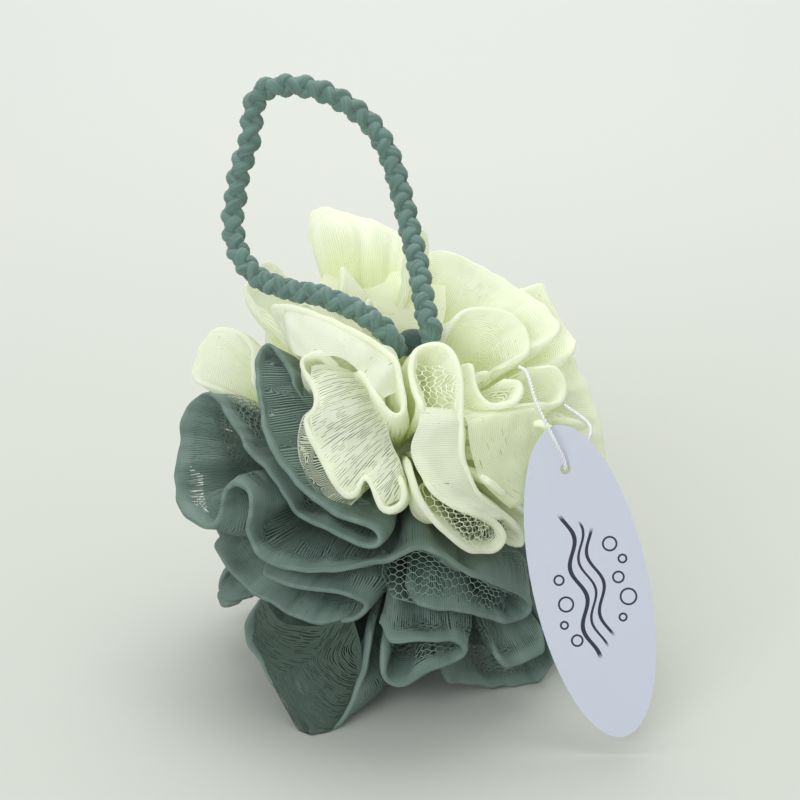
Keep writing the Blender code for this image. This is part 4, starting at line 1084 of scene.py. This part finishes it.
# The braid and the two-ply thread: step along them, lead of one full turn, how far the strands lie from the
# middle, and the strands' half width and half height
BRAID_STEP = 0.0005
BRAID_LEAD = 0.0116
BRAID_OUT = (0.00060, 0.00210)
BRAID_HALF = (0.00182, 0.00160)
THREAD_STEP = 0.0003
THREAD_LEAD = 0.0024
THREAD_OUT = 0.00025
THREAD_HALF = (0.00032, 0.00030)


def braided_cord():
    """A round braid of four fat strands, each over one and under one."""
    route = smooth_route([seen(*p) + TIE for p in LOOP_ROUTE], BRAID_STEP)
    _, side, other = frames_along(route)
    run = run_along(route)
    turn = 2 * math.pi * run / BRAID_LEAD
    strands = []
    for way, first in ((1, 0), (1, 1), (-1, 0), (-1, 1)):
        angle = way * turn + math.pi * first
        over = 0.5 + 0.5 * np.cos(2 * turn) * way
        out = BRAID_OUT[0] + (BRAID_OUT[1] - BRAID_OUT[0]) * over
        outward = np.cos(angle)[:, None] * side + np.sin(angle)[:, None] * other
        strands.append((route + out[:, None] * outward, outward, run))
    obj = strand_mesh("hanging_cord_braid", strands, *BRAID_HALF, 14)
    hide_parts("hanging_cord")
    return obj


def twisted_string():
    """Two-ply thread through the tag's hole."""
    down, _, normal, middle = tag_axes()
    hole = middle - down * (TAG_LENGTH / 2 - TAG_HOLE_FROM_TOP)
    clear = TAG_THICKNESS / 2 + STRING_RADIUS + GAP
    above = hole - down * STRING_TURN
    inside = hole - down * STRING_HOLE_RISE
    turn = [above + normal * (clear + STRING_STAND_OFF), inside + normal * clear * STRING_HOLE_SHARE,
            inside - normal * clear * STRING_HOLE_SHARE, above - normal * (clear + STRING_STAND_OFF)]
    points = [seen(*p) for p in STRING_START] + turn + [seen(*p) for p in STRING_END]
    route = smooth_route([p + TIE for p in points], THREAD_STEP)
    _, side, other = frames_along(route)
    run = run_along(route)
    strands = []
    for k in range(2):
        angle = 2 * math.pi * run / THREAD_LEAD + math.pi * k
        outward = np.cos(angle)[:, None] * side + np.sin(angle)[:, None] * other
        strands.append((route + THREAD_OUT * outward, outward, run))
    obj = strand_mesh("tag_thread", strands, *THREAD_HALF, 8)
    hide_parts("tag_string")
    return obj


# The stage

def area_light(name, place, target, size, watts, colour):
    """A soft rectangular light that points at the target."""
    light = bpy.data.lights.new(name, "AREA")
    light.shape = "RECTANGLE"
    light.size, light.size_y = size
    light.energy = watts
    light.color = linear(colour)[:3]
    obj = linked(name, light)
    obj.location = place
    obj.rotation_euler = (Vector(target) - Vector(place)).to_track_quat("-Z", "Y").to_euler()


def add_stage():
    """Pale paper with painted light that darkens it toward the viewer, a pale sky, and three soft lights."""
    mesh = bpy.data.meshes.new("floor")
    mesh.from_pydata([(-5, -5, 0), (5, -5, 0), (5, 5, 0), (-5, 5, 0)], [], [(0, 1, 2, 3)])
    floor = linked("floor", mesh)
    s = Shader("pale paper with painted light falloff")
    place = s.add("SeparateXYZ", s.add("TexCoord").outputs["Object"])
    # Painted light: the paper's colour is darker near the viewer and lighter far off
    away = s.add("MapRange:SMOOTHSTEP", place.outputs[1], 0.0, 1.6)
    colour = s.add("Mix:RGBA", {0: away, 6: linear("#c3c6c0"), 7: linear("#dfe2e0")}).outputs[2]
    skin = s.add("BsdfPrincipled", {"Base Color": colour, "Roughness": 0.8, "Specular IOR Level": 0.1})
    mesh.materials.append(s.finished(skin))

    world = bpy.data.worlds.new("studio")
    bpy.context.scene.world = world
    world.use_nodes = True
    background = world.node_tree.nodes["Background"]
    background.inputs["Color"].default_value = linear("#f4f7f4")
    background.inputs["Strength"].default_value = 0.60

    area_light("key", (0.04, 0.42, 1.22), (0, 0, 0.05), (1.0, 0.8), 10, "#fffefa")
    area_light("sweep", (0.0, 2.3, 1.6), (0, 2.1, 0.0), (2.0, 0.8), 19, "#ffffff")
    area_light("front", (-0.5, -1.2, 0.75), (0, 0, 0.06), (0.9, 0.7), 10, "#fbfdff")


CAMERA_DISTANCE = 0.620
CAMERA_RISE = 0.0165


def add_camera():
    """The camera stands in front of the pouf and looks down by the view's tilt."""
    data = bpy.data.cameras.new("camera")
    data.sensor_width = 36.0
    data.lens = 93.0
    data.clip_start = 0.02
    camera = linked("camera", data)
    camera.location = TIE + CAMERA_RISE * UPWARD + CAMERA_DISTANCE * TOWARD
    camera.rotation_euler = (math.radians(70.0), 0, 0)
    bpy.context.scene.camera = camera


def paint(obj, material):
    """Gives all of the object this one material."""
    obj.data.materials.clear()
    obj.data.materials.append(material)


def paint_node(name, material):
    """Gives every slot of one of the part's own solids this material."""
    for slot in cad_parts[name].material_slots:
        slot.material = material


def main():
    scene = bpy.context.scene
    scene.view_settings.view_transform = "Standard"
    scene.cycles.transparent_max_bounces = 40
    scene.cycles.diffuse_bounces = 8
    scene.cycles.max_bounces = 12
    add_camera()
    add_stage()

    cord = braided_cord()
    paint(cord, yarn_material("braided cotton cord", "#68867e", "#25352f", 0.9, 0.25))
    string = twisted_string()
    paint(string, yarn_material("two ply white thread", "#f2f3f5", "#a9adb5", 2.0, 0.1))
    paint_node("cord_knot", yarn_material("knotted cord end", "#6d8f87", "#2f4641", 0.9, 0.25))
    paint_node("binding_tie", yarn_material("tie cord", "#e9e9e4", "#9a9c98", 2.0, 0.1))
    paint_node("swing_tag", card_material())

    folds = all_folds()
    cream = add_net("cream_netting", True, folds, CREAM_SPOTS, CREAM_FACES)
    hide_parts("cream_net")
    paint(cream, netting_material("cream knitted netting", "#fcfdf6", "#f0f6de", "#eff5cc", 0.45, "#fafdea"))
    sage = add_net("sage_netting", False, folds, SAGE_SPOTS, SAGE_FACES)
    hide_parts("sage_net")
    paint(sage, netting_material("sage knitted netting", "#859b93", "#4b6158", "#4a5c52", 0.24, "#869c92"))


main()
